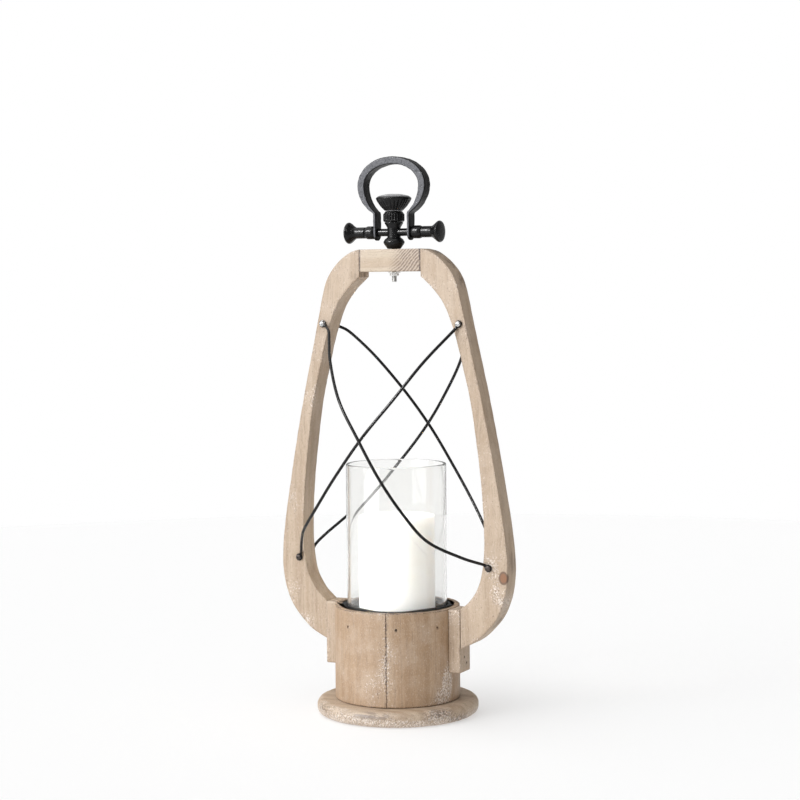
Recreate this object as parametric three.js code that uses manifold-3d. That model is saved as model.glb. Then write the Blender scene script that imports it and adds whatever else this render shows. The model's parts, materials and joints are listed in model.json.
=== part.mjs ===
// A standing and hanging candle lantern: a bow-sawn wooden frame on a staved drum, a glass chimney
// round a pillar candle, crossed guard wires in front and behind, and an iron ring to hang it by.
// Millimetres. X is the frame's width, the front faces -Y, +Z is up, and the origin is the middle
// of the foot's underside.

import * as THREE from 'three';
import { mergeVertices } from 'three/addons/utils/BufferGeometryUtils.js';
import Module from 'manifold-3d';

const wasm = await Module();
wasm.setup();

// ---- Driving dimensions ----

const GAP = 0.3; // left between pieces that touch
const PAST = 1; // how far a cutting tool reaches past the surface that it cuts

const FOOT_RADIUS = 81;
const FOOT_HEIGHT = 16;
const FOOT_EDGE = 7; // radius of the rolled edge, above and below

const DRUM_RADIUS = 62.5;
const DRUM_WALL = 6;
const DRUM_TOP = 109;
const STAVE_COUNT = 4;
const STAVE_ANGLE = (2 * Math.PI) / STAVE_COUNT;
const FIRST_SEAM = THREE.MathUtils.degToRad(-74);

const SHELF_THICKNESS = 14;

const PAN_FLOOR = 104; // height of the tray's floor, which carries the glass and the candle
const PAN_SHEET = 1.5;
const PAN_WELL_RADIUS = 50.9;

const GLASS_RADIUS = 50;
const GLASS_WALL = 2.5;
const GLASS_HEIGHT = 146;

const CANDLE_RADIUS = 38.1;
const CANDLE_HEIGHT = 94;
const WICK_RADIUS = 0.9;

const BLOCK_OUTER = 74.2; // distance of the side blocks' outer faces from the middle
const BLOCK_WIDTH = 24;
const BLOCK_BOTTOM = 46;

const TIMBER = 22; // thickness of the arms and the crossbar from front to back
const CROSSBAR_HALF = 33.7;
const CROSSBAR_TOP = 463.4;
const CROSSBAR_HEIGHT = 22.2;
const DOWEL_RADIUS = 4;
const DOWEL_HALF_LENGTH = 12;

const WIRE_RADIUS = 1.5;
const EYELET_RADIUS = 3.7;
const EYELET_SHEET = 1.6;
const WIRE_TAB = 5.5; // length of wire that lies flat beside each eyelet
const WIRE_SCREW_END = 4.5; // the screws' tips, measured out from the middle plane
const WIRE_HEAD_RADIUS = 2.7;
const WIRE_HEAD_HEIGHT = 2.2;
const UPPER_EYE = [75, 389.5]; // distance from the middle, and height
const LOWER_EYE = [105, 152];

const PIVOT_HEIGHT = 480; // the axis of the cross bolt, on which the ring swings
const BOLT_RADIUS = 3.8;
const BOLT_HALF_LENGTH = 45;
const LEG_INNER = 17; // the ring's legs stand this far from the middle
const LEG_OUTER = 20;
const COLLAR_END = 31;
const KNOB_RIM = 50;
const RING_DEPTH = 14;
const RING_HALF_WIDTH = 37.3;
const RING_WAIST = 526.5; // height of the ring's widest point

const STUD_RADIUS = 2.5;
const STUD_BOTTOM = 431;
const STUD_TOP = 474;

const NAIL_RADIUS = 0.9;
const NAIL_SINK = 0.5; // nails end this far below the surface
const SCREW_RADIUS = 1.6;
const ARM_SCREW_RADIUS = 2;
const ARM_SCREW_TIP = 89; // measured out from the middle
const ARM_SCREW_HEIGHT = 83;
const ARM_HEAD_RADIUS = 3.4;
const ARM_HEAD_HEIGHT = 2.6;
const BRAD_HEIGHT = 93;

const DRUM_BORE = DRUM_RADIUS - DRUM_WALL;
const SHELF_TOP = PAN_FLOOR - PAN_SHEET - GAP;
const SEAT = PAN_FLOOR + GAP;
const CROSSBAR_BOTTOM = CROSSBAR_TOP - CROSSBAR_HEIGHT;
const FACE = TIMBER / 2;
const WIRE_HEAD_BASE = FACE + EYELET_SHEET + 2 * GAP;

// ---- Finishes ----

const WOOD = { color: 0xc9ab85, roughness: 0.85, metalness: 0 };
const DRUM_WOOD = { color: 0xbf9e77, roughness: 0.85, metalness: 0 };
const PALE_WOOD = { color: 0xd6bd9b, roughness: 0.85, metalness: 0 };
const BLACK_IRON = { color: 0x1d1d1f, roughness: 0.45, metalness: 0.6 };
const BLACK_SHEET = { color: 0x141415, roughness: 0.4, metalness: 0.5 };
const ZINC = { color: 0xc8cbd0, roughness: 0.3, metalness: 1 };
const NAIL_STEEL = { color: 0x4a4038, roughness: 0.6, metalness: 0.8 };
const CLEAR_GLASS = { color: 0xeef4f4, roughness: 0.05, metalness: 0, transparent: true, opacity: 0.25 };
const WAX = { color: 0xf6f2e8, roughness: 0.5, metalness: 0 };
const COTTON = { color: 0xd9d0be, roughness: 0.9, metalness: 0 };

// ---- Joining, cutting and basic shapes ----

function asSolid(geometry) {
  const bare = geometry.clone();
  bare.deleteAttribute('normal');
  bare.deleteAttribute('uv');
  const merged = mergeVertices(bare);
  return new wasm.Manifold(new wasm.Mesh({
    numProp: 3,
    vertProperties: new Float32Array(merged.attributes.position.array),
    triVerts: new Uint32Array(merged.index.array),
  }));
}

function asGeometry(solid) {
  const mesh = solid.getMesh();
  const geometry = new THREE.BufferGeometry();
  geometry.setAttribute('position', new THREE.BufferAttribute(mesh.vertProperties, 3));
  geometry.setIndex(new THREE.BufferAttribute(mesh.triVerts, 1));
  geometry.computeVertexNormals();
  return geometry;
}

function cut(body, tools) {
  return asGeometry(tools.reduce((rest, tool) => rest.subtract(asSolid(tool)), asSolid(body)));
}

function join(first, others) {
  return asGeometry(others.reduce((whole, piece) => whole.add(asSolid(piece)), asSolid(first)));
}

function overlap(first, second) {
  return asGeometry(asSolid(first).intersect(asSolid(second)));
}

// A body turned about Z, from [radius, height] pairs that run up its outside
function turned(profile, segments) {
  const points = profile.map(([radius, height]) => new THREE.Vector2(radius, height));
  return new THREE.LatheGeometry(points, segments).rotateX(Math.PI / 2);
}

// A round bar along Z
function bar(radius, from, to, sides = 8) {
  return new THREE.CylinderGeometry(radius, radius, to - from, sides)
    .rotateX(Math.PI / 2)
    .translate(0, 0, (from + to) / 2);
}

// Turns a body that was made along +Z to point along +X or -X
const towardsSide = (geometry, side) => geometry.rotateY((side * Math.PI) / 2);

// Turns a body that was made along +Z to point along +Y or -Y
const towardsFace = (geometry, face) => geometry.rotateX((-face * Math.PI) / 2);

// A board with its outline in X and Z, centred on Y = 0
function board(outline, thickness, curveSegments, bevel) {
  const depth = thickness - 2 * bevel;
  return new THREE.ExtrudeGeometry(outline, {
    depth,
    curveSegments,
    bevelEnabled: bevel > 0,
    bevelThickness: bevel,
    bevelSize: bevel,
    bevelOffset: -bevel,
    bevelSegments: 1,
  })
    .rotateX(Math.PI / 2)
    .translate(0, depth / 2, 0);
}

const points2 = (pairs) => pairs.map(([x, y]) => new THREE.Vector2(x, y));
const points3 = (triples) => triples.map(([x, y, z]) => new THREE.Vector3(x, y, z));

const SIDES = { left: -1, right: 1 };
const FACES = { front: -1, rear: 1 };

const lantern = new THREE.Group();

function add(name, geometry, finish) {
  const mesh = new THREE.Mesh(geometry, new THREE.MeshStandardMaterial(finish));
  mesh.name = name;
  lantern.add(mesh);
}

// ---- Fixing places ----

const staveMiddle = (index) => FIRST_SEAM + (index + 0.5) * STAVE_ANGLE;

// Two brads in each stave, one close to its first seam and one past its middle
const BRAD_OFFSETS = [9, 49].map(THREE.MathUtils.degToRad);
const BRAD_INNER = 47;
const bradAngles = [];
for (let stave = 0; stave < STAVE_COUNT; stave += 1) {
  for (const offset of BRAD_OFFSETS) bradAngles.push(FIRST_SEAM + stave * STAVE_ANGLE + offset);
}

// A nail that points out of the drum at an angle about Z, from one distance to another
function brad(radius, from, to, angle) {
  return bar(radius, from, to, 6)
    .rotateY(Math.PI / 2)
    .rotateZ(angle)
    .translate(0, 0, BRAD_HEIGHT);
}

// Nails through each block, as [distance towards the rear, height] on the right-hand block
const BLOCK_NAILS = [[-1.4, 61], [4, 54.5]];
const BLOCK_NAIL_INNER = 58;

function blockNail(side, [across, height], radius, from, to) {
  return towardsSide(bar(radius, from, to, 6), side).translate(0, side * across, height);
}

const blockNailBore = (side, nail) => (
  blockNail(side, nail, NAIL_RADIUS + GAP, BLOCK_NAIL_INNER - GAP, BLOCK_OUTER + PAST)
);

function armScrewBore(side) {
  const bore = bar(ARM_SCREW_RADIUS + GAP, DRUM_BORE - 5 * PAST, ARM_SCREW_TIP + GAP);
  return towardsSide(bore, side).translate(0, 0, ARM_SCREW_HEIGHT);
}

const FOOT_SCREW_CIRCLE = DRUM_RADIUS - DRUM_WALL / 2;
const FOOT_SCREW_TOP = 36;
const FOOT_HEAD_RADIUS = 3.2;
const FOOT_HEAD_BOTTOM = 1;
const FOOT_HEAD_TOP = 4;
const onFootCircle = (geometry, index) => geometry
  .translate(FOOT_SCREW_CIRCLE, 0, 0)
  .rotateZ(staveMiddle(index));

// ---- Foot, drum and shelf ----

function foot() {
  const arc = (centre, from) => [0, 1, 2, 3].map((step) => {
    const angle = from + (step * Math.PI) / 6;
    return [
      FOOT_RADIUS - FOOT_EDGE + FOOT_EDGE * Math.cos(angle),
      centre + FOOT_EDGE * Math.sin(angle),
    ];
  });
  const disc = turned([
    [0, 0],
    ...arc(FOOT_EDGE, -Math.PI / 2),
    ...arc(FOOT_HEIGHT - FOOT_EDGE, 0),
    [0, FOOT_HEIGHT],
  ], 40);
  const bores = [];
  for (let index = 0; index < STAVE_COUNT; index += 1) {
    bores.push(onFootCircle(bar(SCREW_RADIUS + GAP, -PAST, FOOT_HEIGHT + PAST), index));
    bores.push(onFootCircle(bar(FOOT_HEAD_RADIUS + GAP, -PAST, FOOT_HEAD_TOP + GAP), index));
  }
  return cut(disc, bores);
}

function stave(index) {
  const halfGap = GAP / 2 / DRUM_RADIUS;
  const start = FIRST_SEAM + index * STAVE_ANGLE + halfGap;
  const end = FIRST_SEAM + (index + 1) * STAVE_ANGLE - halfGap;
  const outline = new THREE.Shape()
    .absarc(0, 0, DRUM_RADIUS, start, end, false)
    .absarc(0, 0, DRUM_BORE, end, start, true);
  const bottom = FOOT_HEIGHT + GAP;
  const wall = new THREE.ExtrudeGeometry(outline, {
    depth: DRUM_TOP - bottom,
    curveSegments: 9,
    bevelEnabled: false,
  }).translate(0, 0, bottom);
  const bores = [onFootCircle(bar(SCREW_RADIUS + GAP, 0, FOOT_SCREW_TOP + GAP), index)];
  for (const angle of bradAngles) {
    bores.push(brad(NAIL_RADIUS + GAP, DRUM_BORE - PAST, DRUM_RADIUS + PAST, angle));
  }
  for (const side of Object.values(SIDES)) {
    bores.push(armScrewBore(side));
    for (const nail of BLOCK_NAILS) bores.push(blockNailBore(side, nail));
  }
  return cut(wall, bores);
}

function shelf() {
  const disc = bar(DRUM_BORE - GAP, SHELF_TOP - SHELF_THICKNESS, SHELF_TOP, 32);
  return cut(disc, bradAngles.map((angle) => (
    brad(NAIL_RADIUS + GAP, BRAD_INNER - GAP, DRUM_RADIUS, angle)
  )));
}

add('base_foot', foot(), DRUM_WOOD);
for (let index = 0; index < STAVE_COUNT; index += 1) {
  add(`drum_stave_${index + 1}`, stave(index), DRUM_WOOD);
  const screw = turned([
    [0, FOOT_HEAD_BOTTOM],
    [FOOT_HEAD_RADIUS, FOOT_HEAD_BOTTOM],
    [FOOT_HEAD_RADIUS, FOOT_HEAD_BOTTOM + 0.5],
    [SCREW_RADIUS, FOOT_HEAD_TOP],
    [SCREW_RADIUS, FOOT_SCREW_TOP - 3],
    [0, FOOT_SCREW_TOP],
  ], 8);
  add(`foot_screw_${index + 1}`, onFootCircle(screw, index), ZINC);
}
add('shelf_disc', shelf(), PALE_WOOD);
bradAngles.forEach((angle, index) => {
  const pin = brad(NAIL_RADIUS, BRAD_INNER, DRUM_RADIUS - NAIL_SINK, angle);
  add(`drum_brad_${index + 1}`, pin, NAIL_STEEL);
});

// ---- Side blocks, arms and crossbar ----

function sideBlock(side) {
  const backRadius = DRUM_RADIUS + GAP;
  const half = BLOCK_WIDTH / 2;
  const reach = Math.asin(half / backRadius);
  const outline = new THREE.Shape()
    .moveTo(BLOCK_OUTER, -half)
    .lineTo(BLOCK_OUTER, half)
    .absarc(0, 0, backRadius, reach, -reach, true);
  const block = new THREE.ExtrudeGeometry(outline, {
    depth: DRUM_TOP - BLOCK_BOTTOM,
    curveSegments: 6,
    bevelEnabled: false,
  })
    .translate(0, 0, BLOCK_BOTTOM)
    .rotateZ(side > 0 ? 0 : Math.PI);
  return cut(block, [armScrewBore(side), ...BLOCK_NAILS.map((nail) => blockNailBore(side, nail))]);
}

const ARM_FOOT = BLOCK_OUTER + GAP;
const ARM_END = CROSSBAR_HALF + GAP;
const ARM_END_BOTTOM = 436; // the arm is a little deeper than the crossbar where they meet

// The arm's outline on the right-hand side, up its outer edge and down its inner one
function armOutline() {
  return new THREE.Shape()
    .moveTo(ARM_FOOT, 70.5)
    .splineThru(points2([
      [91, 79], [104, 91], [114, 104], [121, 121], [124.6, 141], [124.2, 165], [120.8, 194],
      [114.2, 233], [107, 273], [97.5, 320], [87.7, 363], [80.5, 396],
      [75.8, 417], [71.6, 431.5], [65, 443], [55, 453.5], [44, 460.8], [ARM_END, CROSSBAR_TOP],
    ]))
    .lineTo(ARM_END, ARM_END_BOTTOM)
    .splineThru(points2([
      [47, 424], [58.5, 409], [67, 389], [73.5, 368], [80.5, 339], [86.5, 313], [92.5, 273],
      [97.3, 232], [99.8, 193], [99.6, 165], [96.5, 142], [91, 128], [83.5, 117.5], [ARM_FOOT, 109.5],
    ]));
}

function dowel(side, radius, halfLength) {
  return towardsSide(bar(radius, CROSSBAR_HALF - halfLength, CROSSBAR_HALF + halfLength), side)
    .translate(0, 0, CROSSBAR_TOP - CROSSBAR_HEIGHT / 2);
}

function arm(side) {
  const body = board(armOutline(), TIMBER, 2, 1);
  const bores = [
    armScrewBore(SIDES.right),
    dowel(SIDES.right, DOWEL_RADIUS + GAP, DOWEL_HALF_LENGTH + GAP),
  ];
  for (const face of Object.values(FACES)) {
    for (const [across, height] of [UPPER_EYE, LOWER_EYE]) {
      bores.push(
        towardsFace(bar(SCREW_RADIUS + GAP, WIRE_SCREW_END - GAP, FACE + PAST), face)
          .translate(across, 0, height),
      );
    }
  }
  return cut(body, bores).rotateZ(side > 0 ? 0 : Math.PI);
}

function crossbar() {
  const block = new THREE.BoxGeometry(2 * CROSSBAR_HALF, TIMBER, CROSSBAR_HEIGHT)
    .translate(0, 0, CROSSBAR_TOP - CROSSBAR_HEIGHT / 2);
  const dowels = Object.values(SIDES).map((side) => (
    dowel(side, DOWEL_RADIUS + GAP, DOWEL_HALF_LENGTH + GAP)
  ));
  return cut(block, [bar(STUD_RADIUS + GAP, CROSSBAR_BOTTOM - PAST, CROSSBAR_TOP + PAST), ...dowels]);
}

for (const [sideName, side] of Object.entries(SIDES)) {
  add(`side_block_${sideName}`, sideBlock(side), WOOD);
  BLOCK_NAILS.forEach((nail, index) => {
    const pin = blockNail(side, nail, NAIL_RADIUS, BLOCK_NAIL_INNER, BLOCK_OUTER - NAIL_SINK);
    add(`block_nail_${sideName}_${index + 1}`, pin, NAIL_STEEL);
  });
  add(`arm_${sideName}`, arm(side), WOOD);
  const armScrew = turned([
    [0, DRUM_BORE - ARM_HEAD_HEIGHT - 2 * GAP],
    [ARM_HEAD_RADIUS, DRUM_BORE - ARM_HEAD_HEIGHT],
    [ARM_HEAD_RADIUS, DRUM_BORE - 2 * GAP],
    [ARM_SCREW_RADIUS, DRUM_BORE - 2 * GAP],
    [ARM_SCREW_RADIUS, ARM_SCREW_TIP - 3],
    [0, ARM_SCREW_TIP],
  ], 8);
  add(`arm_screw_${sideName}`, towardsSide(armScrew, side).translate(0, 0, ARM_SCREW_HEIGHT), ZINC);
  add(`crossbar_dowel_${sideName}`, dowel(side, DOWEL_RADIUS, DOWEL_HALF_LENGTH), PALE_WOOD);
}
add('crossbar', crossbar(), PALE_WOOD);

// ---- Tray, glass and candle ----

const PAN_RIM_RADIUS = DRUM_BORE - GAP;
const PAN_OUTER = PAN_WELL_RADIUS + PAN_SHEET;

add('candle_pan', turned([
  [0, PAN_FLOOR - PAN_SHEET],
  [PAN_OUTER - 1.5, PAN_FLOOR - PAN_SHEET],
  [PAN_OUTER, PAN_FLOOR],
  [PAN_OUTER, DRUM_TOP - PAN_SHEET],
  [PAN_RIM_RADIUS, DRUM_TOP - PAN_SHEET],
  [PAN_RIM_RADIUS, DRUM_TOP],
  [PAN_OUTER + 0.4, DRUM_TOP],
  [PAN_OUTER - 0.4, DRUM_TOP + 0.6],
  [PAN_WELL_RADIUS + 0.2, DRUM_TOP],
  [PAN_WELL_RADIUS, PAN_FLOOR],
  [0, PAN_FLOOR],
], 36), BLACK_SHEET);

add('glass_chimney', turned([
  [GLASS_RADIUS - GLASS_WALL, SEAT],
  [GLASS_RADIUS, SEAT],
  [GLASS_RADIUS, SEAT + GLASS_HEIGHT],
  [GLASS_RADIUS - GLASS_WALL, SEAT + GLASS_HEIGHT],
  [GLASS_RADIUS - GLASS_WALL, SEAT],
], 36), CLEAR_GLASS);

const CANDLE_TOP = SEAT + CANDLE_HEIGHT;
const POOL_FLOOR = CANDLE_TOP - 12; // bottom of the melted hollow
const WICK_BOTTOM = SEAT + 3;

add('candle', turned([
  [0, SEAT],
  [CANDLE_RADIUS - 2, SEAT],
  [CANDLE_RADIUS, SEAT + 2],
  [CANDLE_RADIUS, CANDLE_TOP - 2],
  [CANDLE_RADIUS - 2, CANDLE_TOP],
  [CANDLE_RADIUS - 5, CANDLE_TOP - 1],
  [CANDLE_RADIUS - 12, CANDLE_TOP - 8],
  [10, POOL_FLOOR],
  [WICK_RADIUS + GAP, POOL_FLOOR],
  [WICK_RADIUS + GAP, WICK_BOTTOM - GAP],
  [0, WICK_BOTTOM - GAP],
], 28), WAX);

add('candle_wick', bar(WICK_RADIUS, WICK_BOTTOM, POOL_FLOOR + 7, 8), COTTON);

// ---- Guard wires and their screws ----

// Each wire leaves an upper eyelet, bows out round the glass and ends on the lower eyelet of the
// other arm. Points are [X, distance out from the middle plane, Z] between the two eyelets.
const OUTER_BOW = [
  [-24, 74.5, 316], [-0.6, 82.5, 281], [24.5, 84.3, 241], [47, 79, 208], [65, 68.5, 184],
  [88, 38.5, 165],
];
const INNER_BOW = [
  [52, 44, 353], [26, 60.4, 316], [-1.2, 71, 281], [-33.2, 68, 241], [-60, 57, 209],
  [-84.5, 39, 183.5],
];
const WIRE_ROUTES = {
  front: {
    outer: { start: -1, points: [[-62.8, 22, 382], [-56.6, 33, 372], [-46.6, 50, 354], ...OUTER_BOW] },
    inner: { start: 1, points: [...INNER_BOW, [-93.8, 26.5, 172]] },
  },
  rear: {
    outer: { start: -1, points: [[-63.8, 18, 383], [-55.2, 38, 368], [-45.8, 57, 349.8], ...OUTER_BOW] },
    inner: { start: 1, points: [...INNER_BOW, [-93.8, 27.4, 172.8], [-100.5, 16.5, 163]] },
  },
};
const WIRE_REST = FACE + GAP + WIRE_RADIUS; // the wire's middle where it lies on the timber

function eyelet(face, across, height) {
  return new THREE.CylinderGeometry(EYELET_RADIUS, EYELET_RADIUS, EYELET_SHEET, 12)
    .translate(across, face * (FACE + GAP + EYELET_SHEET / 2), height);
}

// A point on the way from an eyelet to the next point of the route, still flat on the timber
function alongTab([x, out, z], [nextX, , nextZ], distance) {
  const share = distance / Math.hypot(nextX - x, nextZ - z);
  return [x + share * (nextX - x), out, z + share * (nextZ - z)];
}

function wireAlong(path, steps) {
  const section = new THREE.Shape(points2([0, 1, 2, 3, 4, 5].map((step) => [
    WIRE_RADIUS * Math.cos((step * Math.PI) / 3),
    WIRE_RADIUS * Math.sin((step * Math.PI) / 3),
  ])));
  return new THREE.ExtrudeGeometry(section, { extrudePath: path, steps, bevelEnabled: false });
}

function guardWire(face, { start, points }) {
  const onFace = (route) => points3(route.map(([x, out, z]) => [x, face * out, z]));
  const ends = [
    { eye: [start * UPPER_EYE[0], WIRE_REST, UPPER_EYE[1]], next: points[0] },
    { eye: [-start * LOWER_EYE[0], WIRE_REST, LOWER_EYE[1]], next: points[points.length - 1] },
  ];
  const [first, last] = ends.map(({ eye, next }) => alongTab(eye, next, WIRE_TAB));
  const bow = new THREE.CatmullRomCurve3(onFace([first, ...points, last]), false, 'centripetal');
  const tabs = ends.map(({ eye, next }) => (
    wireAlong(new THREE.LineCurve3(...onFace([eye, alongTab(eye, next, WIRE_TAB + WIRE_RADIUS)])), 1)
  ));
  const eyelets = ends.map(({ eye: [across, , height] }) => eyelet(face, across, height));
  const whole = join(wireAlong(bow, 32), [...tabs, ...eyelets]);
  const room = [
    [SCREW_RADIUS + GAP, FACE - PAST],
    [WIRE_HEAD_RADIUS + GAP, WIRE_HEAD_BASE - GAP],
  ];
  return cut(whole, ends.flatMap(({ eye: [across, , height] }) => room.map(([radius, from]) => (
    towardsFace(bar(radius, from, WIRE_HEAD_BASE + WIRE_HEAD_HEIGHT + PAST, 12), face)
      .translate(across, 0, height)
  ))));
}

for (const [faceName, face] of Object.entries(FACES)) {
  for (const [wireName, route] of Object.entries(WIRE_ROUTES[faceName])) {
    add(`guard_wire_${faceName}_${wireName}`, guardWire(face, route), BLACK_IRON);
  }
  for (const [sideName, side] of Object.entries(SIDES)) {
    for (const [level, [across, height]] of Object.entries({ upper: UPPER_EYE, lower: LOWER_EYE })) {
      const screw = turned([
        [0, WIRE_SCREW_END],
        [SCREW_RADIUS, WIRE_SCREW_END + 2],
        [SCREW_RADIUS, WIRE_HEAD_BASE],
        [WIRE_HEAD_RADIUS, WIRE_HEAD_BASE],
        [WIRE_HEAD_RADIUS, WIRE_HEAD_BASE + WIRE_HEAD_HEIGHT / 2],
        [WIRE_HEAD_RADIUS * 0.6, WIRE_HEAD_BASE + WIRE_HEAD_HEIGHT],
        [0, WIRE_HEAD_BASE + WIRE_HEAD_HEIGHT],
      ], 8);
      add(
        `wire_screw_${faceName}_${level}_${sideName}`,
        towardsFace(screw, face).translate(side * across, 0, height),
        level === 'upper' ? ZINC : BLACK_IRON,
      );
    }
  }
}

// ---- Finial, stud, washer and nut ----

const POST_BOTTOM = CROSSBAR_TOP + GAP;
const POST_SHOULDER = POST_BOTTOM + 26.3; // the fluted barrel stands on this
const BARREL_BOTTOM = POST_SHOULDER + GAP;
const BARREL_TOP = BARREL_BOTTOM + 10.4;
const CUP_BOTTOM = BARREL_TOP + GAP;
const SPIGOT_RADIUS = 3; // the post's upper end, which goes through the barrel into the cup
const SPIGOT_TOP = CUP_BOTTOM + 7;

// The pairs of a profile, given as heights above a base
const above = (base, pairs) => pairs.map(([radius, height]) => [radius, base + height]);

// The bolt that the ring swings on, or the bore for it when room is left round it
const crossBolt = (room) => (
  towardsSide(bar(BOLT_RADIUS + room, -BOLT_HALF_LENGTH, BOLT_HALF_LENGTH, 12), SIDES.right)
    .translate(0, 0, PIVOT_HEIGHT)
);

function finialPost() {
  const post = turned([
    ...above(POST_BOTTOM, [
      [0, 0],
      [6.5, 0],
      [10.5, 5.6],
      [10.5, 7.1],
      [8.9, 9.7],
      [6.6, 11.3],
      [6.6, 20.8],
      [8, 23.3],
      [9.3, 25.3],
    ]),
    [9.3, POST_SHOULDER],
    [SPIGOT_RADIUS, POST_SHOULDER],
    [SPIGOT_RADIUS, SPIGOT_TOP],
    [0, SPIGOT_TOP],
  ], 18);
  return cut(post, [bar(STUD_RADIUS + GAP, POST_BOTTOM - PAST, STUD_TOP + GAP), crossBolt(GAP)]);
}

add('finial_post', finialPost(), BLACK_IRON);

add('finial_barrel', turned([
  [SPIGOT_RADIUS + GAP, BARREL_BOTTOM],
  [9.6, BARREL_BOTTOM],
  [10.6, BARREL_BOTTOM + 1.1],
  [10.6, BARREL_TOP - 2.9],
  [9.2, BARREL_TOP - 1.2],
  [8.6, BARREL_TOP],
  [SPIGOT_RADIUS + GAP, BARREL_TOP],
  [SPIGOT_RADIUS + GAP, BARREL_BOTTOM],
], 18), BLACK_IRON);

add('finial_cup', turned([
  [0, SPIGOT_TOP + GAP],
  [SPIGOT_RADIUS + GAP, SPIGOT_TOP + GAP],
  [SPIGOT_RADIUS + GAP, CUP_BOTTOM],
  ...above(CUP_BOTTOM, [
    [8.6, 0],
    [13.2, 4.6],
    [16.5, 9.4],
    [17.6, 11.8],
    [17.6, 13],
    [15, 15],
    [8, 16.6],
    [0, 17],
  ]),
], 20), BLACK_IRON);

const WASHER_RADIUS = 6;
const WASHER_SHEET = 1;
const NUT_HEIGHT = 2.7;
const NUT_ACROSS_FLATS = 8;
const washerTop = CROSSBAR_BOTTOM - GAP;
const nutTop = washerTop - WASHER_SHEET - GAP;
const nutBottom = nutTop - NUT_HEIGHT;

add('threaded_stud', bar(STUD_RADIUS, STUD_BOTTOM, STUD_TOP, 12), ZINC);
add('stud_washer', cut(
  bar(WASHER_RADIUS, washerTop - WASHER_SHEET, washerTop, 16),
  [bar(STUD_RADIUS + GAP, nutTop, washerTop + PAST)],
), ZINC);
add('stud_nut', cut(
  bar(NUT_ACROSS_FLATS / Math.sqrt(3), nutBottom, nutTop, 6),
  [bar(STUD_RADIUS + GAP, nutBottom - PAST, washerTop)],
), ZINC);

// ---- Hanging ring, cross bolt, collars and knobs ----

// Two half ellipses above the widest point and two below it, then straight legs down to the bolt
const RING_BAND = 7.8;
const RING_LOWER_HEIGHT = 32.8;
const RING_OUTER_RISE = 28.3;
const RING_INNER_RISE = 20.6;
const LEG_END_HEIGHT = PIVOT_HEIGHT - 1; // middle of the round end of each leg

function ringOutline() {
  const legEnd = LEG_END_HEIGHT - RING_DEPTH / 2 - PAST;
  const innerHalf = RING_HALF_WIDTH - RING_BAND;
  const outerTurn = Math.acos(LEG_OUTER / RING_HALF_WIDTH);
  const innerTurn = Math.acos(LEG_INNER / innerHalf);
  return new THREE.Shape()
    .moveTo(LEG_INNER, legEnd)
    .lineTo(LEG_OUTER, legEnd)
    .absellipse(0, RING_WAIST, RING_HALF_WIDTH, RING_LOWER_HEIGHT, -outerTurn, 0, false, 0)
    .absellipse(0, RING_WAIST, RING_HALF_WIDTH, RING_OUTER_RISE, 0, Math.PI, false, 0)
    .absellipse(0, RING_WAIST, RING_HALF_WIDTH, RING_LOWER_HEIGHT, Math.PI, Math.PI + outerTurn, false, 0)
    .lineTo(-LEG_OUTER, legEnd)
    .lineTo(-LEG_INNER, legEnd)
    .absellipse(0, RING_WAIST, innerHalf, RING_LOWER_HEIGHT, Math.PI + innerTurn, Math.PI, true, 0)
    .absellipse(0, RING_WAIST, innerHalf, RING_INNER_RISE, Math.PI, 0, true, 0)
    .absellipse(0, RING_WAIST, innerHalf, RING_LOWER_HEIGHT, 0, -innerTurn, true, 0);
}

// Round feet on the legs, seen from the side
function ringSideView() {
  const half = RING_DEPTH / 2;
  const outline = new THREE.Shape()
    .absarc(0, LEG_END_HEIGHT, half, Math.PI, 2 * Math.PI, false)
    .lineTo(half, RING_WAIST + RING_OUTER_RISE + PAST)
    .lineTo(-half, RING_WAIST + RING_OUTER_RISE + PAST);
  return board(outline, 2 * (RING_HALF_WIDTH + PAST), 8, 0).rotateZ(Math.PI / 2);
}

function hangingRing() {
  const band = board(ringOutline(), RING_DEPTH, 7, 0.8);
  return cut(overlap(band, ringSideView()), [crossBolt(GAP)]);
}

add('hanging_ring', hangingRing(), BLACK_IRON);
add('cross_bolt', crossBolt(0), BLACK_IRON);

for (const [sideName, side] of Object.entries(SIDES)) {
  const onBolt = (geometry) => towardsSide(geometry, side).translate(0, 0, PIVOT_HEIGHT);
  const collarStart = LEG_OUTER + GAP;
  add(`collar_${sideName}`, onBolt(turned([
    [BOLT_RADIUS + GAP, collarStart],
    [5.6, collarStart],
    [6.6, collarStart + 2.5],
    [6.6, COLLAR_END - 2.5],
    [5.4, COLLAR_END],
    [BOLT_RADIUS + GAP, COLLAR_END],
    [BOLT_RADIUS + GAP, collarStart],
  ], 14)), BLACK_IRON);
  add(`end_knob_${sideName}`, onBolt(turned([
    [0, BOLT_HALF_LENGTH + GAP],
    [BOLT_RADIUS + GAP, BOLT_HALF_LENGTH + GAP],
    [BOLT_RADIUS + GAP, COLLAR_END + GAP],
    [5.6, COLLAR_END + GAP],
    [5.6, KNOB_RIM - 8],
    [7, KNOB_RIM - 5.5],
    [10, KNOB_RIM - 1.8],
    [10.9, KNOB_RIM],
    [10, KNOB_RIM + 1.6],
    [6, KNOB_RIM + 2.7],
    [0, KNOB_RIM + 3],
  ], 16)), BLACK_IRON);
}

export default lantern;
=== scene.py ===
import json
import math

import bmesh
import bpy
from mathutils import Matrix, Vector, kdtree, noise


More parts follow.
